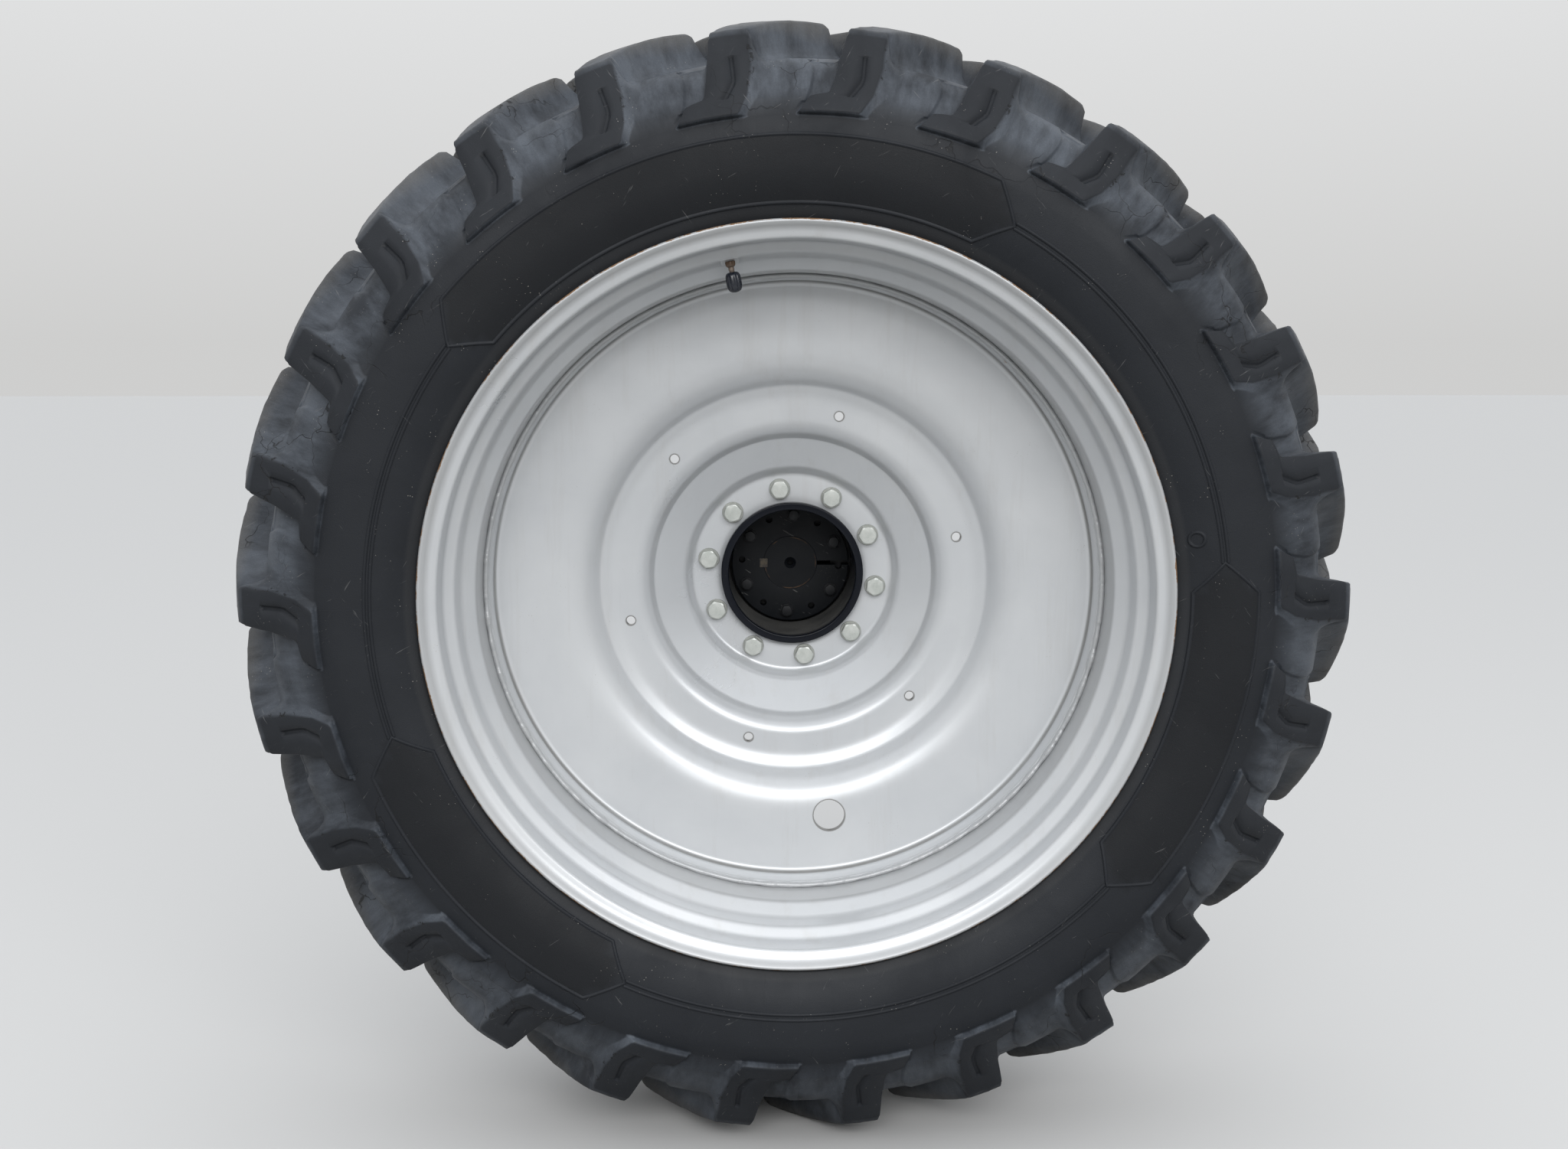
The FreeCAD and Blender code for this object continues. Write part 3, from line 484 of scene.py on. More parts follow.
weld_radius = 0.5738
weld_station = 0.2175
weld_bead = 0.0058
weld_points = []
weld_faces = []
weld_steps = 2600
weld_sides = 9
for step in range(weld_steps):
    clock = 360 * step / weld_steps
    ripple = 0.92 + 0.025 * math.sin(step * 2.1) + 0.38 * noise.noise(Vector((step * 0.05, 3.0, 0.0)))
    ripple += 0.10 * noise.noise(Vector((step * 0.19, 6.0, 0.0)))
    drift = 0.0026 * noise.noise(Vector((step * 0.03, 9.0, 0.0)))
    for side in range(weld_sides):
        round_bead = 2 * math.pi * side / weld_sides
        weld_points.append(place(
            weld_radius + weld_bead * ripple * math.cos(round_bead),
            weld_station + drift + 1.35 * weld_bead * ripple * math.sin(round_bead),
            clock,
        ))
        after = (side + 1) % weld_sides
        here = step * weld_sides
        there = (step + 1) % weld_steps * weld_sides
        weld_faces.append((here + side, there + side, there + after, here + after))
finish_piece(mesh_piece("disc_weld", weld_points, weld_faces, 80), rim_paint, "rim_paint", "wheel")


# Tyre
# Black rubber tyre with 26 slanting lugs to a side, the two sides half a pitch apart. Each lug leans
# out over the shoulder and ends in a foot with a bent groove, and the floor beside it is sunk.

tyre_low, tyre_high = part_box("tyre")
lug_count = 26
pitch = 360 / lug_count
lug_clock = 5.0
edge_radius = 0.9766
edge_station = 0.040
crown_radius = tyre_high.z - 0.0006
crown_arc = 0.470
side_lean = 0.486
sunk = 0.006
groove_half = 0.0042
groove_depth = 0.0055
carcass = bent_line([
    # radius, station, how far the bend reaches
    (0.648, 0.0215, 0.0),
    (0.664, 0.0125, 0.008),
    (0.720, -0.018, 0.050),
    (0.825, -0.0265, 0.045),
    (0.925, 0.040, 0.040),
    (0.955, rim_middle, 0.0),
    (0.955, rim_middle + 0.1, 0.0),
], 10)


def read_off(table, value):
    """Reads the second column of a table at a value of its first, between its rows in proportion."""
    if value <= table[0][0]:
        return table[0][1]
    for (start, low), (end, high) in zip(table, table[1:]):
        if value <= end:
            return low + (high - low) * (value - start) / (end - start)
    return table[-1][1]


def crown_at(station):
    return crown_radius - crown_arc + math.sqrt(crown_arc ** 2 - (station - rim_middle) ** 2)


carcass_station = [(point.x, point.y) for point in carcass if point.y < rim_middle]
carcass_radius = [(point.y, point.x) for point in carcass if point.x > 0.83]
# Down the lug's outer side: drop below the tread's edge, then the distance round the tread's edge.
foot_trailing = [
    (0.0, 0.003), (0.004, 0.0), (0.060, -0.011), (0.105, -0.025), (0.113, -0.030), (0.117, -0.054), (0.120, -0.066), (0.146, -0.085)
]
foot_leading = [(0.0, 0.060), (0.006, 0.0625), (0.060, 0.066), (0.112, 0.056), (0.144, 0.036)]
sunk_edge = [
    (0.0, -0.069), (0.013, -0.065), (0.026, -0.060), (0.053, -0.060), (0.078, -0.064), (0.108, -0.0706), (0.142, -0.0846)
]
groove_line = [(0.044, 0.0313), (0.084, 0.0313), (0.092, 0.0290), (0.117, 0.0100)]
# Across the tread: station, then the clock angle of the lug's middle from its trailing corner.
lug_sweep = [(0.040, 1.82), (0.080, 3.25), (0.120, 5.1), (0.160, 7.35), (0.200, 9.85), (0.240, 12.4)]
flank = [(0.0, 0.0), (0.2, 0.03), (0.4, 0.13), (0.58, 0.36), (0.74, 0.70), (0.88, 0.94), (1.0, 1.0)]
soft_flank = [0.0, 0.09, 0.27, 0.49, 0.72, 0.91, 1.0]
frame_ends = [(307.2, 389.14), (84.0, 132.46), (204.65, 252.43)]
frame_tip = 0.739
frame_outer = 0.795
frame_inner = 0.686
frame_slope = 4.1

# Rows run from the bead up the sidewall, over the lug's side and shoulder, to just past the middle.
tyre_rows = []
for radius in (
    0.648, 0.656, 0.664, 0.672, 0.680, 0.6845, 0.6875, 0.699, 0.713, 0.731, 0.747, 0.763, 0.779, 0.7935, 0.7965, 0.805, 0.816, 0.823
):
    tyre_rows.append(("wall", radius))
for drop in (
    0.1505, 0.148, 0.1465, 0.1445, 0.141, 0.136, 0.130, 0.125, 0.1215, 0.1198, 0.1184, 0.117, 0.1155, 0.1135, 0.111,
    0.107, 0.101, 0.094, 0.087, 0.080, 0.073, 0.066, 0.059, 0.053, 0.048, 0.0455, 0.0438, 0.042, 0.038, 0.032, 0.025,
    0.018, 0.0125, 0.010,
):
    tyre_rows.append(("side", drop))
for part in (0.2, 0.4, 0.6, 0.8):
    tyre_rows.append(("round", part))
for step in range(15):
    tyre_rows.append(("crown", 0.050 + 0.0102 * step))
for station in (0.1975, 0.201, 0.204, 0.207, 0.2105, 0.2145, 0.218, 0.222, 0.227):
    tyre_rows.append(("crown", station))


def tyre_row(kind, value):
    """One row's floor and lug surface, how far lug and sunk floor show, where they end, and the outward way."""
    if kind == "wall":
        floor = Vector((value, read_off(carcass_station, value)))
        return floor, floor, 0.0, 0.0, foot_trailing[-1][1], foot_leading[-1][1], sunk_edge[-1][1], Vector((0.56, -0.83))
    if kind == "side":
        radius = 0.8265 + 0.0985 * (0.1505 - value) / 0.1505
        floor = Vector((radius, read_off(carcass_station, radius)))
        top = Vector((edge_radius - value, edge_station - side_lean * value))
        rise = read_off([(0.1435, 1.0), (0.1460, 0.88), (0.148, 0.35), (0.1505, 0.0)], value)
        shelf = read_off([(0.110, 1.0), (0.146, 0.0)], value)
        ends = (read_off(foot_trailing, value), read_off(foot_leading, value), read_off(sunk_edge, value))
        return floor, top, rise, shelf, *ends, Vector((0.56, -0.83))
    if kind == "round":
        below = Vector((edge_radius - 0.010, edge_station - side_lean * 0.010))
        above = Vector((crown_at(0.050), 0.050))
        corner = Vector((edge_radius, edge_station))
        top = below.lerp(corner, value).lerp(corner.lerp(above, value), value)
        radius = 0.9185 + 0.009 * value
        station = read_off(carcass_station, 0.9185) * (1 - value) + 0.050 * value
        floor = Vector((radius * (1 - value) + read_off(carcass_radius, station) * value, station))
        trailing = 0.001 + 0.002 * value
        return floor, top, 1.0, 1.0 - 0.35 * value, trailing, 0.0625 - 0.0015 * value, sunk_edge[0][1], Vector((0.95, -0.3))
    floor = Vector((read_off(carcass_radius, value) - read_off([(rim_middle, 0.0), (rim_middle + 0.004, 0.002)], value), value))
    top = Vector((crown_at(value), value))
    rise = read_off([(0.196, 1.0), (0.2005, 0.985), (0.204, 0.93), (0.2105, 0.52), (0.216, 0.2), (0.2225, 0.0)], value)
    shelf = read_off([(0.050, 0.65), (0.070, 0.0)], value)
    middle = math.radians(read_off(lug_sweep, value)) * edge_radius
    edge = read_off([(0.050, 0.0285), (0.070, 0.031)], value)
    return floor, top, rise, shelf, middle - edge, middle + edge, middle - edge + sunk_edge[0][1], Vector((1.0, 0.0))


def inside_frame(radius, clock):
    """How far a sidewall point lies inside one of its three long frames, from 0 to 1."""
    deepest = 0.0
    reach = frame_outer - frame_tip if radius > frame_tip else frame_tip - frame_inner
    if abs(radius - frame_tip) < reach:
        for start, end in frame_ends:
            along = (clock - start) % 360
            room = min(along, end - start - along) - frame_slope * abs(radius - frame_tip) / reach
            deepest = max(deepest, min(1.0, room / 0.6))
    return deepest


def tyre_half(name, mirrored):
    """One side of the tyre, as a net whose columns follow the edges of lugs, grooves and floors."""
    points = []
    scuffs = []
    creases = []
    framed = []
    turned_by = lug_clock + (pitch / 2 if mirrored else 0.0)
    for kind, value in tyre_rows:
        floor, top, rise, shelf, trailing, leading, sunk_end, outward = tyre_row(kind, value)
        height = (top - floor).length
        trailing_flank = 0.004 + 0.34 * height
        softness = read_off([(0.0, 0.0), (0.030, 1.0)], value) if kind == "side" else 0.0
        leading -= 0.007 * softness
        leading_flank = (0.005 + 0.46 * height) * (1 - softness) + (0.012 + 0.74 * height) * softness
        sunk_end = min(sunk_end, trailing - trailing_flank - 0.007)
        groove = read_off(groove_line, value) if kind == "side" else (trailing + leading) / 2
        grooved = kind == "side" and 0.0448 < value < 0.1175
        widen = 1.35 if kind == "side" and value > 0.088 else 1.0
        # distance round the tread's edge, share of the lug's height, raised floor, groove, creased root
        columns = [(sunk_end + 0.006, 0.0, 0.0, 0.0, 0.0), ((sunk_end + trailing - trailing_flank) / 2 + 0.003, 0.0, 0.0, 0.0, 0.0)]
        columns += [(trailing - trailing_flank * (1 - part), lift, 0.0, 0.0, 0.0) for part, lift in flank]
        columns.append(((trailing + groove) / 2, 1.0, 0.0, 0.0, 0.0))
        for offset, depth in ((-1.3, 0.0), (-0.8, 1.0), (0.8, 1.0), (1.3, 0.0)):
            columns.append((groove + offset * groove_half * widen, 1.0, 1.0, depth if grooved else 0.0, 0.0))
        columns.append(((leading + groove) / 2 + 0.003, 1.0, 1.0, 0.0, 0.0))
        for (part, lift), soft_lift in zip(reversed(flank), reversed(soft_flank)):
            lift += (soft_lift - lift) * softness
            creased = softness if part in (0.74, 0.88) and value < 0.112 else 0.0
            columns.append((leading + leading_flank * (1 - part), lift, 1.0, 0.0, creased))
        near = leading + leading_flank
        far = sunk_end + math.radians(pitch) * edge_radius
        near = min(near, far - 0.012)
        columns += [(near + (far - near) * part, 0.0, 1.0, 0.0, 0.0) for part in (0.35, 0.72)]
        columns += [(far - 0.003, 0.0, 1.0, 0.0, 0.0), (far, 0.0, 0.8, 0.0, 0.0), (far + 0.0025, 0.0, 0.2, 0.0, 0.0)]
        for lug in range(lug_count):
            for along, lift, raised, depth, creased in columns:
                ground = floor + outward * (sunk * shelf * raised)
                spot = ground.lerp(top, lift * rise) - Vector((0.437, -0.90)) * (groove_depth * depth)
                station = rim_width - spot.y if mirrored else spot.y
                clock = turned_by + pitch * lug + math.degrees(along / edge_radius)
                point = place(spot.x, station, clock)
                uneven = 0.0006 * noise.noise(point * 26)
                if kind in ("crown", "round") and lift > 0.6:
                    uneven += 0.0012 * noise.noise(point * 95)
                points.append(point + Vector((point.x, 0, point.z)).normalized() * min(uneven, 0.0004))
                if kind == "wall":
                    scuff = 0.0
                elif lift * rise > 0.9:
                    scuff = {"side": 0.04, "round": 0.35, "crown": 0.75}[kind]
                elif lift > 0.0:
                    scuff = 0.8 if raised else 0.55
                else:
                    scuff = read_off([(0.0, 0.85), (0.085, 0.75), (0.125, 0.25), (0.150, 0.0)], value if kind == "side" else 0.0)
                scuffs.append(scuff)
                creases.append(creased)
                framed.append(inside_frame(spot.x, clock) if kind == "wall" else 0.0)
    width = len(points) // len(tyre_rows)
    faces = []
    for row in range(len(tyre_rows) - 1):
        for column in range(width):
            after = (column + 1) % width
            face = (row * width + column, row * width + after, (row + 1) * width + after, (row + 1) * width + column)
            faces.append(face[::-1] if mirrored else face)
    piece = mesh_piece(name, points, faces, 80)
    for label, values in (("scuff", scuffs), ("crease", creases), ("framed", framed)):
        piece.data.attributes.new(label, "FLOAT", "POINT").data.foreach_set("value", values)
    return piece


# Rubber is near black on the sidewalls and lug sides, and grey where it runs and where feet and
# stones scuff it. Fine cracks and pale scratches cross it, and dust lies in a band by the rim.
tyre_rubber, tree, shader = make_material("tyre_rubber")
rubber = use_group(tree, weather, Cloud_Scale=6.0, Grain_Scale=420.0, Speck_Scale=150.0, Speck_Size=0.13)
about_axle = use_group(tree, wheel_place)
position = add_node(tree, "TexCoord").outputs["Object"]
scuff = add_node(tree, "Attribute", attribute_name="scuff").outputs["Fac"]
brushed_place = add_node(tree, "CombineXYZ", links={
    "X": maths(tree, "MULTIPLY", about_axle["Turn"], 210.0),
    "Y": maths(tree, "MULTIPLY", about_axle["Radius"], 9.0),
    "Z": maths(tree, "MULTIPLY", about_axle["Station"], 16.0),
})
brushed = add_node(tree, "TexNoise", {"Scale": 1.0, "Detail": 5.0, "Roughness": 0.65}, {"Vector": brushed_place.outputs[0]})
rubbing = spread(tree, maths(tree, "ADD", rubber["Cloud"], brushed.outputs["Fac"]), 0.78, 1.22, 0.22, 1.3)
scuffed = maths(tree, "MULTIPLY", scuff, rubbing)
dark_rubber = blend_colours(tree, rubber["Cloud"], (0.0100, 0.0115, 0.0145), (0.0200, 0.0225, 0.0270))
band = spread(tree, about_axle["Radius"], 0.684, 0.678, 0.0, 0.10)
banded = blend_colours(tree, band, dark_rubber, (0.10, 0.098, 0.094))
framed = add_node(tree, "Attribute", attribute_name="framed").outputs["Fac"]
panelled = blend_colours(tree, maths(tree, "MULTIPLY", framed, 0.62), banded, (0.0045, 0.005, 0.006))
grey_rubber = blend_colours(tree, rubber["Grain"], (0.056, 0.065, 0.079), (0.103, 0.116, 0.136))
worn = blend_colours(tree, scuffed, panelled, grey_rubber)
tread_dust = spread(tree, maths(tree, "ADD", about_axle["Radius"], maths(tree, "MULTIPLY", rubber["Cloud"], 0.05)), 1.000, 1.030, 0.0, 0.62)
tread_dust = maths(tree, "MULTIPLY", tread_dust, spread(tree, rubber["Grain"], 0.35, 0.62, 0.45, 1.0))
trodden = blend_colours(tree, tread_dust, worn, (0.108, 0.100, 0.088))
scratch_mask = 0.0
for slant in (-0.5, 0.9, 2.1):
    scratch_place = add_node(
        tree, "Mapping", {"Rotation": (0.0, slant, 0.0), "Scale": (0.3, 0.3, 0.017)}, {"Vector": position}, vector_type="TEXTURE"
    )
    scratches = add_node(tree, "TexNoise", {"Scale": 3.0, "Detail": 3.0, "Roughness": 0.8}, {"Vector": scratch_place.outputs[0]})
    scratch_mask = maths(tree, "MAXIMUM", scratch_mask, spread(tree, scratches.outputs["Fac"], 0.69, 0.74, 0.0, 0.5))
scratched = blend_colours(tree, scratch_mask, trodden, (0.18, 0.18, 0.18))
dusted = blend_colours(tree, maths(tree, "MULTIPLY", rubber["Specks"], 0.6), scratched, (0.36, 0.34, 0.31))
crack_bend = add_node(tree, "TexNoise", {"Scale": 14.0, "Detail": 3.0}, {"Vector": position})
crack_place = add_node(tree, "VectorMath", {"Scale": 0.11}, {0: crack_bend.outputs["Color"]}, operation="SCALE")
crack_spot = add_node(tree, "VectorMath", links={0: position, 1: crack_place.outputs[0]}, operation="ADD")
cracks = add_node(tree, "TexVoronoi", {"Scale": 9.0}, {"Vector": crack_spot.outputs[0]}, feature="DISTANCE_TO_EDGE")
crack_patches = add_node(tree, "TexNoise", {"Scale": 5.0, "Detail": 2.0}, {"Vector": position})
crack_zone = maths(tree, "MULTIPLY", spread(tree, crack_patches.outputs["Fac"], 0.52, 0.60), spread(tree, about_axle["Radius"], 0.78, 0.82))
fine_cracks = maths(tree, "MULTIPLY", spread(tree, cracks.outputs["Distance"], 0.011, 0.003), crack_zone)
crease = add_node(tree, "Attribute", attribute_name="crease").outputs["Fac"]
tears = add_node(tree, "TexNoise", {"Scale": 70.0, "Detail": 4.0, "Roughness": 0.7}, {"Vector": position})
torn = maths(tree, "MULTIPLY", spread(tree, crease, 0.35, 0.8), spread(tree, tears.outputs["Fac"], 0.56, 0.60))
crack_mask = maths(tree, "MAXIMUM", fine_cracks, torn)
tree.links.new(blend_colours(tree, maths(tree, "MULTIPLY", crack_mask, 0.8), dusted, (0.006, 0.006, 0.006)), shader.inputs["Base Color"])
tree.links.new(spread(tree, rubber["Cloud"], 0.35, 0.65, 0.62, 0.48), shader.inputs["Roughness"])
shader.inputs["Specular IOR Level"].default_value = 0.22
mould_lines = maths(tree, "LESS_THAN", maths(tree, "PINGPONG", maths(tree, "MULTIPLY", about_axle["Turn"], 72.0), 0.5), 0.006)
height = maths(tree, "ADD", maths(tree, "MULTIPLY", rubber["Grain"], 0.45), maths(tree, "MULTIPLY", rubber["Cloud"], 1.0))
height = maths(tree, "ADD", height, maths(tree, "MULTIPLY", mould_lines, 0.25))
height = maths(tree, "SUBTRACT", height, maths(tree, "MULTIPLY", crack_mask, 1.2))
rubber_bump = add_node(tree, "Bump", {"Strength": 0.45, "Distance": 0.0015}, {"Height": height})
tree.links.new(rubber_bump.outputs["Normal"], shader.inputs["Normal"])

for name, mirrored in (("tyre_outer_side", False), ("tyre_inner_side", True)):
    finish_piece(tyre_half(name, mirrored), tyre_rubber, "tyre_rubber", "wheel", "tyre")


# Sidewall moulding
# Fine ribs cast with the rubber: two rings halfway up each sidewall, which end at three long frames
# with pointed ends, and a small round mark. The frames are plain inside and a little darker.

rib_half = 0.0023
rib_height = 0.0027
ring_radii = (0.7445, 0.7350)


def wall_point(radius, clock, height, mirrored):
    """A point at a height above the sidewall."""
    station = read_off(carcass_station, radius)
    along = Vector((0.004, read_off(carcass_station, radius + 0.002) - read_off(carcass_station, radius - 0.002))).normalized()
    spot = Vector((radius, station)) + Vector((along.y, -along.x)) * height
    return place(spot.x, rim_width - spot.y if mirrored else spot.y, clock)


def wall_rib(points, faces, route, mirrored):
    """A rib that follows (radius, clock) corners, with its corners mitred."""
    line = []
    for (radius, clock), (next_radius, next_clock) in zip(route, route[1:]):
        steps = max(2, int(abs(next_clock - clock) / 0.5))
        for step in range(steps):
            part = step / steps
            line.append((radius + (next_radius - radius) * part, clock + (next_clock - clock) * part))
    closed = route[0] == route[-1]
    if not closed:
        line.append(route[-1])
    start = len(points)
    count = len(line)
    for index, (radius, clock) in enumerate(line):
        before = line[index - 1] if index or closed else line[index]
        after = line[(index + 1) % count] if index < count - 1 or closed else line[index]
        forward = Vector((after[0] - before[0], math.radians(after[1] - before[1]) * radius))
        if forward.length > 0.2:
            forward = Vector((0.0, 1.0))
        forward.normalize()
        for offset, height in ((-1.6, -0.0006), (-0.7, rib_height * 0.8), (0.0, rib_height), (0.7, rib_height * 0.8), (1.6, -0.0006)):
            spot = radius + forward.y * offset * rib_half
            turn_by = math.degrees(-forward.x * offset * rib_half / radius)
            points.append(wall_point(spot, clock + turn_by, height, mirrored))
    for index in range(count if closed else count - 1):
        here = start + index * 5
        there = start + (index + 1) % count * 5
        for side in range(4):
            face = (here + side, there + side, there + side + 1, here + side + 1)
            faces.append(face[::-1] if mirrored else face)


def frame_route(start, end):
    return [
        (frame_tip, start), (frame_outer, start + frame_slope), (frame_outer, end - frame_slope), (frame_tip, end),
        (frame_inner, end - frame_slope), (frame_inner, start + frame_slope), (frame_tip, start),
    ]


for name, mirrored in (("outer_sidewall_ribs", False), ("inner_sidewall_ribs", True)):
    rib_points = []
    rib_faces = []
    for start, end in frame_ends:
        wall_rib(rib_points, rib_faces, frame_route(start, end), mirrored)
    for (_, start), (end, _) in zip(frame_ends, frame_ends[1:] + frame_ends[:1]):
        for radius in ring_radii:
            wall_rib(rib_points, rib_faces, [(radius, start - 360 if start > 360 else start), (radius, end)], mirrored)
    mark = []
    for step in range(25):
        angle = math.radians(15 * (step % 24))
        mark.append((0.698 + 0.0125 * math.cos(angle), 80.4 + math.degrees(0.0125 * math.sin(angle) / 0.698)))
    wall_rib(rib_points, rib_faces, mark, mirrored)
    finish_piece(mesh_piece(name, rib_points, rib_faces, 80), tyre_rubber, "tyre_rubber", "wheel")


# Hub
# Cast iron barrel painted satin black. Its machined lip centres the disc, the wheel bolts screw into
# its flange, and its tapered inner bore grips the wedge sleeve.

hub_bore = 0.126
hub_outline = bent_line([
    # radius, station, how far the bend reaches
    (hub_bore, 0.600, 0.0),
    (hub_bore, 0.413, 0.0036),
    (0.1405, 0.413, 0.0032),
    (0.1405, 0.4442, 0.0010),
    (0.2030, 0.4442, 0.0030),
    (0.2030, 0.476, 0.0060),
    (0.1600, 0.476, 0.0200),
    (0.1500, 0.600, 0.0400),
    (0.1320, 0.692, 0.0200),
    (0.1180, 0.720, 0.0060),
    (0.0765, 0.720, 0.0010),
    (0.0842, 0.6005, 0.0010),
    (hub_bore, 0.600, 0.0),
], 6)[:-1]

# Satin black paint over cast iron. Dust sticks inside the barrel's lower half, and the lip shines.
hub_black, tree, shader = make_material("hub_black")
cast = use_group(tree, weather, Cloud_Scale=14.0, Grain_Scale=260.0, Speck_Scale=240.0, Speck_Size=0.12)
about_axle = use_group(tree, wheel_place)
upward = add_node(tree, "SeparateXYZ", links={0: add_node(tree, "TexCoord").outputs["Normal"]}).outputs["Z"]
inside = maths(tree, "MULTIPLY", spread(tree, about_axle["Station"], 0.418, 0.440), spread(tree, about_axle["Radius"], 0.1275, 0.1262))
dust = maths(tree, "MULTIPLY", maths(tree, "MULTIPLY", inside, spread(tree, upward, -0.2, 0.7)), spread(tree, cast["Cloud"], 0.25, 0.6, 0.6, 1.0))
black = blend_colours(tree, cast["Cloud"], (0.0020, 0.0032, 0.0068), (0.0048, 0.0062, 0.0105))
dusty = blend_colours(tree, dust, black, (0.082, 0.081, 0.077))
tree.links.new(blend_colours(tree, maths(tree, "MULTIPLY", cast["Specks"], 0.4), dusty, (0.22, 0.20, 0.17)), shader.inputs["Base Color"])
tree.links.new(spread(tree, dust, 0.0, 1.0, 0.18, 0.75), shader.inputs["Roughness"])
shader.inputs["Specular IOR Level"].default_value = 0.17
cast_height = maths(tree, "MULTIPLY", cast["Grain"], spread(tree, about_axle["Station"], 0.425, 0.47, 0.15, 1.0))
cast_bump = add_node(tree, "Bump", {"Strength": 0.45, "Distance": 0.0012}, {"Height": cast_height})
tree.links.new(cast_bump.outputs["Normal"], shader.inputs["Normal"])
finish_piece(turned_piece("hub_barrel", hub_outline, 192), hub_black, "hub_black", "wheel", "hub_casting")


# Wedge sleeve
# Turned iron sleeve with a slit on one side and a keyway on the other. Six screws draw its cone into
# the hub so that it clamps the axle, and six threaded holes between them push it out again.

sleeve_face = 0.571
sleeve_screw_circle = 0.100
sleeve_screw_clock = 4.0
sleeve_slit = 0.009
key_clock = 270.0
sleeve_outline = bent_line([
    # radius, station, how far the bend reaches
    (0.0551, sleeve_face + 0.03, 0.0),
    (0.0551, sleeve_face, 0.0012),
    (0.1210, sleeve_face, 0.0020),
    (0.1210, 0.597, 0.0020),
    (0.0841, 0.597, 0.0030),
    (0.0759, 0.720, 0.0015),
    (0.0551, 0.720, 0.0010),
    (0.0551, sleeve_face + 0.03, 0.0),
], 5)[:-1]
sleeve = turned_piece("wedge_sleeve_body", sleeve_outline, 180)
jack_holes = [(0.007, sleeve_screw_circle, sleeve_screw_clock + 30 + 60 * index) for index in range(6)]
cut_away(sleeve, hole_cutters(jack_holes, sleeve_face - 0.01, 0.61))


def block_cutter(half_width, inner, outer, first, last, clock):
    """A straight slot's cutter, which runs outward from the axle at a clock angle."""
    sideways = place(1.0, 0.0, clock + 90) - place(0.0, 0.0, 0.0)
    points = []
    for station in (first, last):
        for radius, side in ((inner, -1), (outer, -1), (outer, 1), (inner, 1)):
            points.append(place(radius, station, clock) + sideways * side * half_width)
    faces = [(0, 3, 2, 1), (4, 5, 6, 7), (0, 1, 5, 4), (1, 2, 6, 5), (2, 3, 7, 6), (3, 0, 4, 7)]
    return mesh_piece("slot_cutter", points, faces)


cut_away(sleeve, block_cutter(sleeve_slit / 2, 0.045, 0.13, sleeve_face - 0.01, 0.73, key_clock - 180))
cut_away(sleeve, block_cutter(0.0091, 0.03, 0.0631, sleeve_face - 0.01, 0.73, key_clock))

# Near black oiled iron, with dust on its ledges and a few bright scratches low on the right.
sleeve_steel, tree, shader = make_material("sleeve_steel")
oiled = use_group(tree, weather, Cloud_Scale=22.0, Grain_Scale=300.0, Speck_Scale=260.0, Speck_Size=0.14)
about_axle = use_group(tree, wheel_place)
black = blend_colours(tree, spread(tree, oiled["Cloud"], 0.35, 0.7), (0.0024, 0.0034, 0.0050), (0.0052, 0.0062, 0.0080))
turned_marks = add_node(tree, "TexNoise", {"Scale": 700.0, "Detail": 2.0}, {"Vector": about_axle["Radius"]})
scratch_spot = add_node(tree, "Mapping", {"Rotation": (0.0, 0.5, 0.0), "Scale": (0.07, 1.0, 0.011)}, {"Vector": add_node(tree, "TexCoord").outputs["Object"]}, vector_type="TEXTURE")
scratches = add_node(tree, "TexNoise", {"Scale": 2.0, "Detail": 2.0}, {"Vector": scratch_spot.outputs[0]})
scratch_mask = spread(tree, scratches.outputs["Fac"], 0.70, 0.73, 0.0, 0.5)
scratched = blend_colours(tree, scratch_mask, black, (0.16, 0.16, 0.155))
tree.links.new(blend_colours(tree, maths(tree, "MULTIPLY", oiled["Specks"], 0.35), scratched, (0.20, 0.18, 0.15)), shader.inputs["Base Color"])
tree.links.new(spread(tree, oiled["Cloud"], 0.3, 0.7, 0.38, 0.56), shader.inputs["Roughness"])
shader.inputs["Specular IOR Level"].default_value = 0.17
sleeve_height = maths(tree, "ADD", maths(tree, "MULTIPLY", turned_marks.outputs["Fac"], 0.3), maths(tree, "MULTIPLY", oiled["Grain"], 0.5))
sleeve_bump = add_node(tree, "Bump", {"Strength": 0.3, "Distance": 0.0006}, {"Height": sleeve_height})
tree.links.new(sleeve_bump.outputs["Normal"], shader.inputs["Normal"])
finish_piece(sleeve, sleeve_steel, "sleeve_steel", "wheel", "wedge_sleeve")


# Sleeve screws
# Six steel screws with washers pull the sleeve into the hub. They wear the same dark oil and paint.

screw_points = []
screw_faces = []


def add_post(points, faces, distance, clock, rows, flats=None, turned_by=0.0, steps=48):
    """(radius, station) rows turned about a line beside the axle. Rows with no radius are hexagonal."""
    middle = place(distance, 0.0, clock)
    start = len(points)
    for radius, station in rows:
        for step in range(steps):
            angle = 2 * math.pi * step / steps
            reach = radius
            if radius is None:
                across = (angle + turned_by) % (math.pi / 3) - math.pi / 6
                reach = flats / 2 / math.cos(across)
            points.append(middle + Vector((reach * math.cos(angle), station, -reach * math.sin(angle))))
    for row in range(len(rows) - 1):
        for step in range(steps):
            after = (step + 1) % steps
            here = start + row * steps
            faces.append((here + step, here + after, here + steps + after, here + steps + step))
    faces.append(tuple(range(start + steps - 1, start - 1, -1)))
    last = start + len(rows) * steps
    faces.append(tuple(range(last - steps, last)))
    return start


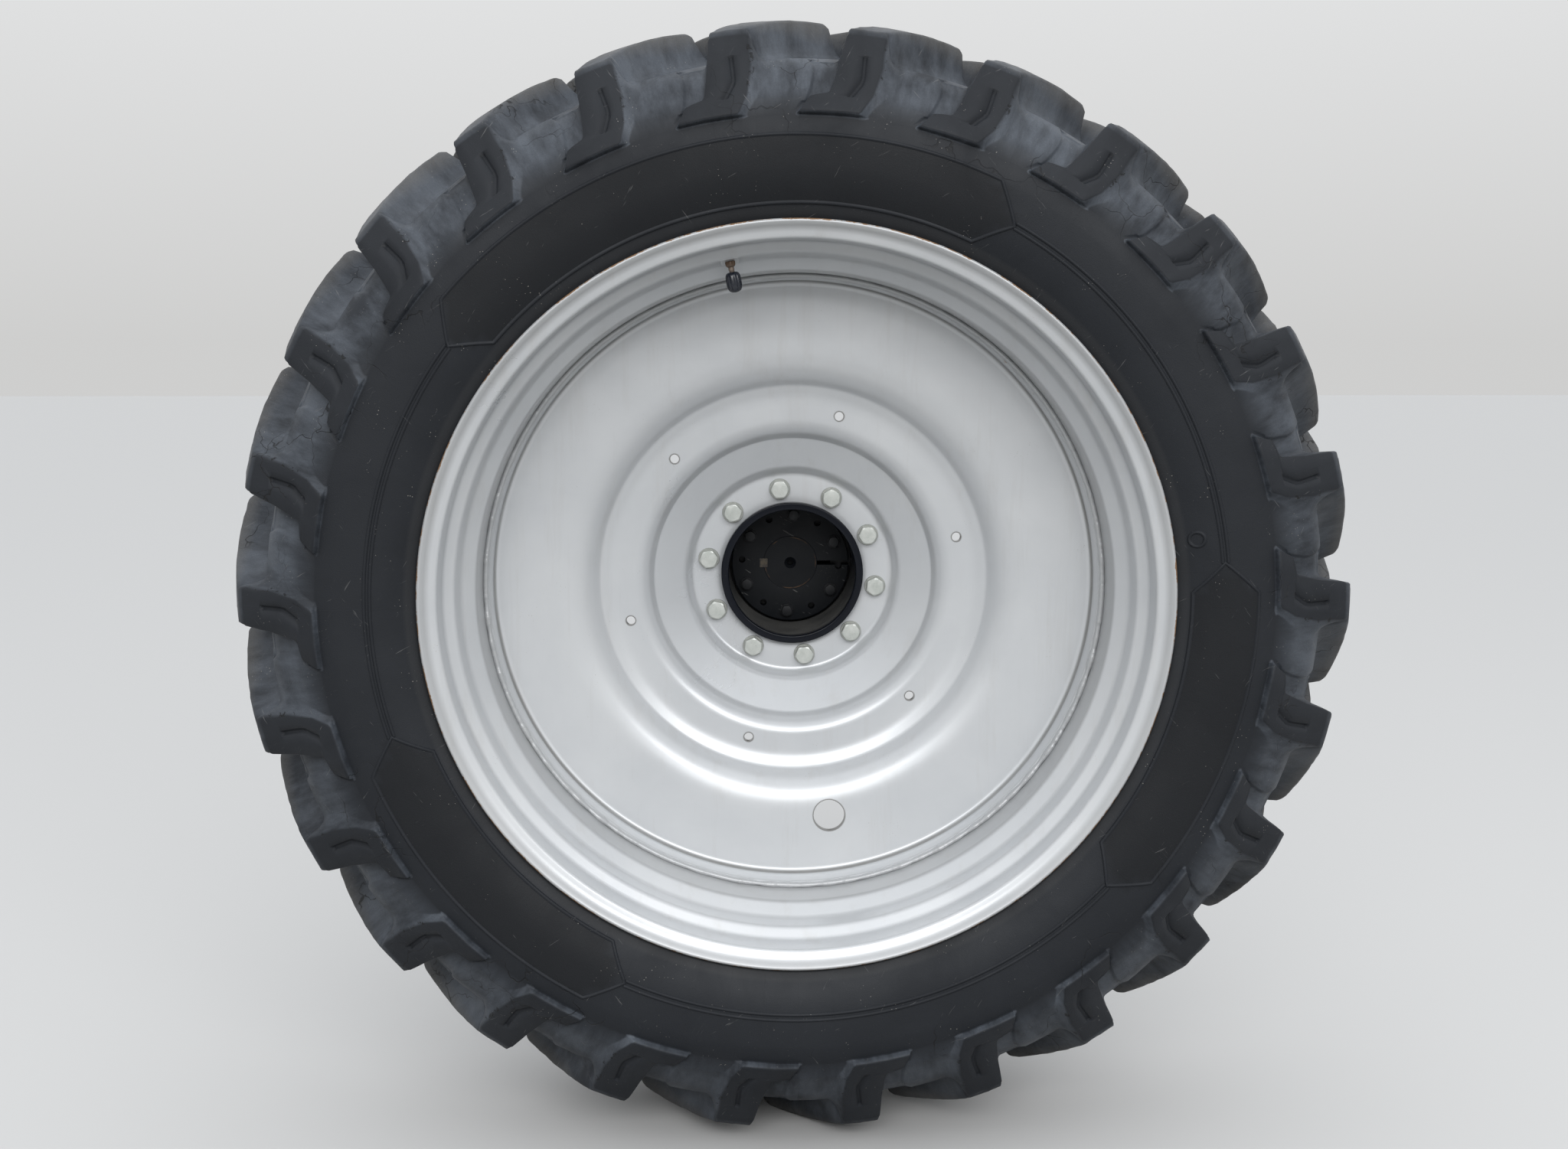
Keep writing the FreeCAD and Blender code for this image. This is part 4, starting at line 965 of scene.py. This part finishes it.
def add_hex_head(points, faces, distance, clock, flats, top, base, turned_by):
    """A hexagonal head whose corners are chamfered down from a round top face."""
    rows = [(flats * 0.46, top), (flats * 0.475, top + 0.0001), (None, top + 0.0004), (None, base - 0.0004), (flats * 0.49, base)]
    start = add_post(points, faces, distance, clock, rows, flats, turned_by, 60)
    middle = place(distance, 0.0, clock)
    for index in range(start + 120, start + 180):
        reach = Vector((points[index].x - middle.x, 0.0, points[index].z - middle.z)).length
        points[index].y += (reach - flats * 0.475) * 0.58


for index in range(6):
    clock = sleeve_screw_clock + 60 * index
    washer = [(0.009, sleeve_face - 0.0028), (0.0132, sleeve_face - 0.0028), (0.0136, sleeve_face - 0.0024), (0.0136, sleeve_face)]
    add_post(screw_points, screw_faces, sleeve_screw_circle, clock, washer)
    add_hex_head(
        screw_points, screw_faces, sleeve_screw_circle, clock, 0.0215,
        sleeve_face - 0.0115, sleeve_face - 0.0026, random.uniform(0, 1),
    )

dark_steel, tree, shader = make_material("dark_steel")
steel = use_group(tree, weather, Cloud_Scale=60.0, Grain_Scale=700.0, Speck_Scale=420.0, Speck_Size=0.2)
oily = blend_colours(tree, spread(tree, steel["Cloud"], 0.35, 0.7), (0.0035, 0.0045, 0.0065), (0.011, 0.0115, 0.0125))
tree.links.new(blend_colours(tree, maths(tree, "MULTIPLY", steel["Specks"], 0.4), oily, (0.18, 0.15, 0.12)), shader.inputs["Base Color"])
tree.links.new(spread(tree, steel["Cloud"], 0.3, 0.7, 0.38, 0.6), shader.inputs["Roughness"])
shader.inputs["Metallic"].default_value = 0.15
shader.inputs["Specular IOR Level"].default_value = 0.35
steel_bump = add_node(tree, "Bump", {"Strength": 0.3, "Distance": 0.0004}, {"Height": steel["Grain"]})
tree.links.new(steel_bump.outputs["Normal"], shader.inputs["Normal"])
screws = mesh_piece("sleeve_screw_heads", screw_points, screw_faces, 25)
finish_piece(screws, dark_steel, "dark_steel", "wheel", "sleeve_screws")


# Axle shaft and key
# Ground steel bar, slid through the housing's bearings into the wedge sleeve. Its outer end is
# painted over, its inboard end has the splines that turn it, and a square key locks it to the sleeve.

axle_steel, tree, shader = make_material("axle_steel")
bar = use_group(tree, weather, Cloud_Scale=26.0, Grain_Scale=420.0, Speck_Scale=300.0, Speck_Size=0.14)
about_axle = use_group(tree, wheel_place)
bare = spread(tree, about_axle["Station"], 0.70, 0.74)
painted_end = blend_colours(tree, spread(tree, bar["Cloud"], 0.35, 0.7), (0.0024, 0.0034, 0.0050), (0.0055, 0.0065, 0.0082))
rub_ring = maths(tree, "MULTIPLY", spread(tree, maths(tree, "ABSOLUTE", maths(tree, "SUBTRACT", about_axle["Radius"], 0.0525)), 0.0012, 0.0004), spread(tree, bar["Cloud"], 0.5, 0.6, 0.0, 0.5))
rubbed_end = blend_colours(tree, rub_ring, painted_end, (0.16, 0.09, 0.045))
ground_bar = blend_colours(tree, spread(tree, bar["Cloud"], 0.3, 0.7), (0.36, 0.36, 0.37), (0.27, 0.265, 0.26))
tree.links.new(blend_colours(tree, bare, rubbed_end, ground_bar), shader.inputs["Base Color"])
tree.links.new(spread(tree, bare, 0.0, 1.0, 0.0, 1.0), shader.inputs["Metallic"])
shader.inputs["Specular IOR Level"].default_value = 0.18
tree.links.new(maths(tree, "SUBTRACT", spread(tree, bar["Grain"], 0.3, 0.7, 0.46, 0.58), maths(tree, "MULTIPLY", bare, 0.2)), shader.inputs["Roughness"])
lathe_marks = add_node(tree, "TexNoise", {"Scale": 900.0, "Detail": 1.0}, {"Vector": maths(tree, "ADD", about_axle["Station"], about_axle["Radius"])})
bar_height = maths(tree, "ADD", maths(tree, "MULTIPLY", lathe_marks.outputs["Fac"], 0.4), maths(tree, "MULTIPLY", bar["Grain"], 0.4))
bar_bump = add_node(tree, "Bump", {"Strength": 0.25, "Distance": 0.0004}, {"Height": bar_height})
tree.links.new(bar_bump.outputs["Normal"], shader.inputs["Normal"])


def dress_node(node, material):
    """Gives a carried-over CAD node its material."""
    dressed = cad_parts[node]
    dressed.data.materials.clear()
    dressed.data.materials.append(material)


dress_node("axle_shaft", axle_steel)

key_steel, tree, shader = make_material("key_steel")
rusty = use_group(tree, weather, Cloud_Scale=120.0, Grain_Scale=700.0, Speck_Scale=380.0, Speck_Size=0.25)
mottled = blend_colours(tree, spread(tree, rusty["Cloud"], 0.42, 0.62), (0.080, 0.066, 0.048), (0.010, 0.010, 0.010))
tree.links.new(blend_colours(tree, maths(tree, "MULTIPLY", rusty["Specks"], 0.6), mottled, (0.16, 0.06, 0.02)), shader.inputs["Base Color"])
tree.links.new(spread(tree, rusty["Cloud"], 0.4, 0.6, 0.55, 0.1), shader.inputs["Metallic"])
tree.links.new(spread(tree, rusty["Grain"], 0.3, 0.7, 0.4, 0.7), shader.inputs["Roughness"])
rust_bump = add_node(tree, "Bump", {"Strength": 0.4, "Distance": 0.0005}, {"Height": rusty["Grain"]})
tree.links.new(rust_bump.outputs["Normal"], shader.inputs["Normal"])
dress_node("axle_key", key_steel)


# Wheel bolts
# Ten zinc plated bolts with round washers clamp the disc's seat to the hub's flange, and their
# chamfered ends show behind it. The plating has gone pale and chalky, and below the heads' top faces it is painted
# darker as shade.

wheel_bolt_circle = 0.1675
wheel_bolt_clock = -8.4
wheel_bolt_flats = 0.033
disc_seat = 0.433
hub_flange_back = 0.476
bolt_points = []
bolt_faces = []
for index in range(10):
    clock = wheel_bolt_clock + 36 * index
    washer = [(0.012, disc_seat - 0.0030), (0.0204, disc_seat - 0.0030), (0.0210, disc_seat - 0.0024), (0.0210, disc_seat - 0.0002)]
    add_post(bolt_points, bolt_faces, wheel_bolt_circle, clock, washer, steps=60)
    add_hex_head(
        bolt_points, bolt_faces, wheel_bolt_circle, clock, wheel_bolt_flats,
        disc_seat - 0.0168, disc_seat - 0.0028, random.uniform(0, 1),
    )
    tip = [(0.0108, hub_flange_back - 0.004), (0.0108, hub_flange_back + 0.0045), (0.0088, hub_flange_back + 0.0065)]
    add_post(bolt_points, bolt_faces, wheel_bolt_circle, clock, tip)

zinc_bolt, tree, shader = make_material("zinc_bolt")
zinc = use_group(tree, weather, Cloud_Scale=55.0, Grain_Scale=700.0, Speck_Scale=330.0, Speck_Size=0.2)
chalky = blend_colours(tree, spread(tree, zinc["Cloud"], 0.35, 0.68), (0.47, 0.495, 0.465), (0.60, 0.615, 0.585))
about_axle = use_group(tree, wheel_place)
# Painted shade: everything below the heads' top faces, hex sides and washers included, is darker than the tops.
head_side_shade = maths(tree, "MULTIPLY", spread(tree, about_axle["Station"], disc_seat - 0.0163, disc_seat - 0.0140), 0.42)
shaded_zinc = blend_colours(tree, head_side_shade, chalky, (0.17, 0.17, 0.155))
tree.links.new(blend_colours(tree, maths(tree, "MULTIPLY", zinc["Specks"], 0.45), shaded_zinc, (0.24, 0.21, 0.16)), shader.inputs["Base Color"])
tree.links.new(spread(tree, zinc["Cloud"], 0.35, 0.7, 0.60, 0.35), shader.inputs["Metallic"])
tree.links.new(spread(tree, zinc["Grain"], 0.3, 0.7, 0.26, 0.40), shader.inputs["Roughness"])
zinc_bump = add_node(tree, "Bump", {"Strength": 0.25, "Distance": 0.0004}, {"Height": zinc["Grain"]})
tree.links.new(zinc_bump.outputs["Normal"], shader.inputs["Normal"])
bolts = mesh_piece("zinc_wheel_bolts", bolt_points, bolt_faces, 25)
finish_piece(bolts, zinc_bolt, "zinc_bolt", "wheel", "wheel_bolts", "wheel_washers")


# Axle housing
# Hollow ribbed iron casting that bolts to the tractor's axle case and carries the axle in two
# bearings. Sand leaves its skin rough and its corners round. Its bolted face is machined bare.

casting_grain = 0.0045
cast_housing = bpy.data.objects.new("cast_axle_housing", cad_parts["axle_housing"].data.copy())
bpy.context.scene.collection.objects.link(cast_housing)
joined = cast_housing.modifiers.new("joined", "WELD")
joined.merge_threshold = 0.00005
skin = cast_housing.modifiers.new("skin", "REMESH")
skin.mode = "VOXEL"
skin.voxel_size = casting_grain
softened = cast_housing.modifiers.new("softened", "SMOOTH")
softened.factor = 0.5
softened.iterations = 4
bpy.context.view_layer.update()
soft_mesh = bpy.data.meshes.new_from_object(cast_housing.evaluated_get(bpy.context.evaluated_depsgraph_get()))
cast_housing.modifiers.clear()
cast_housing.data = soft_mesh
soft_mesh.shade_smooth()

housing_iron, tree, shader = make_material("housing_iron")
iron = use_group(tree, weather, Cloud_Scale=9.0, Grain_Scale=150.0, Speck_Scale=120.0, Speck_Size=0.14)
about_axle = use_group(tree, wheel_place)
machined = spread(tree, about_axle["Station"], 1.1888, 1.1894)
enamel = blend_colours(tree, spread(tree, iron["Cloud"], 0.3, 0.7), (0.022, 0.023, 0.026), (0.045, 0.044, 0.043))
muddy = blend_colours(tree, spread(tree, iron["Cloud"], 0.58, 0.75, 0.0, 0.6), enamel, (0.13, 0.105, 0.078))
specked = blend_colours(tree, maths(tree, "MULTIPLY", iron["Specks"], 0.5), muddy, (0.20, 0.12, 0.06))
bare_iron = blend_colours(tree, iron["Grain"], (0.22, 0.215, 0.21), (0.32, 0.315, 0.31))
tree.links.new(blend_colours(tree, machined, specked, bare_iron), shader.inputs["Base Color"])
tree.links.new(spread(tree, machined, 0.0, 1.0, 0.0, 0.9), shader.inputs["Metallic"])
tree.links.new(maths(tree, "SUBTRACT", spread(tree, iron["Cloud"], 0.3, 0.7, 0.48, 0.72), maths(tree, "MULTIPLY", machined, 0.15)), shader.inputs["Roughness"])
iron_height = maths(tree, "MULTIPLY", iron["Grain"], spread(tree, machined, 0.0, 1.0, 1.0, 0.1))
iron_bump = add_node(tree, "Bump", {"Strength": 0.5, "Distance": 0.0016}, {"Height": iron_height})
tree.links.new(iron_bump.outputs["Normal"], shader.inputs["Normal"])
finish_piece(cast_housing, housing_iron, "housing_iron", "axle_housing", "axle_housing")


# Bearings
# Two roller bearings of hardened ground steel, pressed into the housing. Each has an inner and an
# outer ring with a row of rollers between them, held apart by a pressed cage.

bearing_steel, tree, shader = make_material("bearing_steel")
ground = use_group(tree, weather, Cloud_Scale=40.0, Grain_Scale=900.0, Speck_Scale=400.0, Speck_Size=0.1)
greased = blend_colours(tree, spread(tree, ground["Cloud"], 0.45, 0.7, 0.0, 0.7), (0.56, 0.56, 0.57), (0.20, 0.15, 0.08))
tree.links.new(greased, shader.inputs["Base Color"])
tree.links.new(spread(tree, ground["Cloud"], 0.3, 0.7, 0.22, 0.4), shader.inputs["Roughness"])
shader.inputs["Metallic"].default_value = 1.0
ground_bump = add_node(tree, "Bump", {"Strength": 0.15, "Distance": 0.0003}, {"Height": ground["Grain"]})
tree.links.new(ground_bump.outputs["Normal"], shader.inputs["Normal"])

for node, name in (("outer_bearing", "outer_roller_bearing"), ("inner_bearing", "inner_roller_bearing")):
    ring_low, ring_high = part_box(node)
    first = ring_low.y - outer_edge
    last = ring_high.y - outer_edge
    inner_ring = [
        (0.05505, first), (0.0655, first), (0.0655, first + 0.005), (0.0620, first + 0.007),
        (0.0640, last - 0.007), (0.0675, last - 0.005), (0.0675, last), (0.05505, last),
    ]
    outer_ring = [(0.0800, first), (0.0880, first), (0.0880, last), (0.0820, last), (0.0780, (first + last) / 2)]
    inner_piece = turned_piece(name + "_inner_ring", inner_ring, 96)
    outer_piece = turned_piece(name, outer_ring, 96)
    cage = turned_piece(name + "_cage", [(0.0690, last - 0.009), (0.0690, last - 0.003), (0.0772, last - 0.003), (0.0772, last - 0.0045), (0.0705, last - 0.0045), (0.0705, last - 0.009)], 96)
    roller_points = []
    roller_faces = []
    for index in range(22):
        roller = [(0.0050, first + 0.007), (0.0064, first + 0.008), (0.0070, last - 0.008), (0.0056, last - 0.006)]
        add_post(roller_points, roller_faces, 0.0715, 360 / 22 * index, roller, steps=20)
    rollers = mesh_piece(name + "_rollers", roller_points, roller_faces, 30)
    finish_piece(outer_piece, bearing_steel, "bearing_steel", "axle_housing", node)
    for piece in (inner_piece, cage, rollers):
        finish_piece(piece, bearing_steel, "bearing_steel", "axle_housing")


# End plate and seal
# Iron ring on the housing's outer end, held by eight screws, that keeps the bearing in. The rubber
# seal pressed into it wipes the turning axle and keeps the grease in.

plate_low, plate_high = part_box("bearing_retainer")
plate_first = plate_low.y - outer_edge
plate_last = plate_high.y - outer_edge
end_plate = turned_piece("retainer_plate", bent_line([
    # radius, station, how far the bend reaches
    (0.066, plate_last - 0.002, 0.0),
    (0.066, plate_first, 0.0016),
    (0.112, plate_first, 0.0022),
    (0.112, plate_last, 0.0010),
    (0.066, plate_last, 0.0010),
    (0.066, plate_last - 0.002, 0.0),
], 4)[:-1], 128)
finish_piece(end_plate, housing_iron, "housing_iron", "axle_housing", "bearing_retainer")
plate_screw_points = []
plate_screw_faces = []
for index in range(8):
    add_hex_head(
        plate_screw_points, plate_screw_faces, 0.100, 45 * index, 0.016,
        plate_first - 0.008, plate_first, random.uniform(0, 1),
    )
plate_screws = mesh_piece("retainer_screw_heads", plate_screw_points, plate_screw_faces, 25)
finish_piece(plate_screws, dark_steel, "dark_steel", "axle_housing", "retainer_screws")

seal_rubber, tree, shader = make_material("seal_rubber")
seal = use_group(tree, weather, Cloud_Scale=50.0, Grain_Scale=700.0, Speck_Scale=300.0, Speck_Size=0.15)
tree.links.new(blend_colours(tree, seal["Cloud"], (0.012, 0.012, 0.012), (0.05, 0.046, 0.04)), shader.inputs["Base Color"])
tree.links.new(spread(tree, seal["Cloud"], 0.3, 0.7, 0.45, 0.7), shader.inputs["Roughness"])
seal_bump = add_node(tree, "Bump", {"Strength": 0.3, "Distance": 0.0004}, {"Height": seal["Grain"]})
tree.links.new(seal_bump.outputs["Normal"], shader.inputs["Normal"])
seal_piece = turned_piece("lip_seal", [
    (0.0552, plate_first + 0.003), (0.0562, plate_first + 0.0012), (0.0590, plate_first + 0.003), (0.0625, plate_first + 0.003),
    (0.0635, plate_first + 0.0008), (0.0659, plate_first + 0.0008), (0.0659, plate_last - 0.001), (0.0552, plate_last - 0.001),
], 128)
finish_piece(seal_piece, seal_rubber, "seal_rubber", "axle_housing", "axle_seal")


# Camera, floor and light
# The camera stands outside the wheel, a little above its axle, where its place was fitted. The floor is
# plain and pale, the sky is brightest overhead, and one wide soft lamp stands in front and above.

camera_data = bpy.data.cameras.new("camera")
camera_data.sensor_width = 36.0
camera_data.lens = 37.783
camera = bpy.data.objects.new("camera", camera_data)
bpy.context.scene.collection.objects.link(camera)
camera.location = (-0.0869, outer_edge - 2.8119, 0.4579)
camera_yaw = 0.02188
camera_pitch = 0.14167
camera.rotation_euler = (math.pi / 2 - camera_pitch, 0.0, -camera_yaw)
bpy.context.scene.camera = camera

floor_size = 40.0
floor_height = cad_low.z
floor = mesh_piece(
    "floor",
    [(x * floor_size, y * floor_size, floor_height) for x, y in ((-1, -1), (1, -1), (1, 1), (-1, 1))],
    [(0, 1, 2, 3)],
)
floor_paint, tree, shader = make_material("floor_paint")
ray = add_node(tree, "LightPath").outputs
seen = maths(tree, "MAXIMUM", maths(tree, "MAXIMUM", ray["Is Camera Ray"], ray["Is Glossy Ray"]), ray["Is Transmission Ray"])
tree.links.new(blend_colours(tree, seen, (0.108, 0.105, 0.096), (0.53, 0.528, 0.522)), shader.inputs["Base Color"])
shader.inputs["Roughness"].default_value = 0.85
floor.data.materials.append(floor_paint)

world = bpy.data.worlds.new("sky")
world.use_nodes = True
bpy.context.scene.world = world
sky = world.node_tree
sky_height = add_node(sky, "SeparateXYZ", links={0: add_node(sky, "TexCoord").outputs["Generated"]}).outputs["Z"]
sky_ray = add_node(sky, "LightPath").outputs
sky_seen = maths(sky, "MAXIMUM", maths(sky, "MAXIMUM", sky_ray["Is Camera Ray"], sky_ray["Is Glossy Ray"]), sky_ray["Is Transmission Ray"])
sky_share = spread(sky, sky_height, 0.0, 1.0)
sky_light = blend_colours(sky, sky_share, (0.37, 0.37, 0.37), (1.56, 1.60, 1.65))
sky_view = blend_colours(sky, sky_share, (0.62, 0.62, 0.615), (1.30, 1.33, 1.37))
sky.links.new(blend_colours(sky, sky_seen, sky_light, sky_view), sky.nodes["Background"].inputs["Color"])

lamp_data = bpy.data.lights.new("soft_lamp", "AREA")
lamp_data.shape = "RECTANGLE"
lamp_data.size = 7.0
lamp_data.size_y = 2.2
lamp_data.energy = 262.0
lamp_data.color = (1.0, 1.0, 1.0)
lamp = bpy.data.objects.new("soft_lamp", lamp_data)
lamp.location = (0.6, outer_edge - 5.6, 3.2)
lamp.rotation_euler = (Vector((0.0, outer_edge, 0.0)) - lamp.location).to_track_quat("-Z", "Y").to_euler()
bpy.context.scene.collection.objects.link(lamp)

bpy.context.scene.view_settings.view_transform = "Standard"
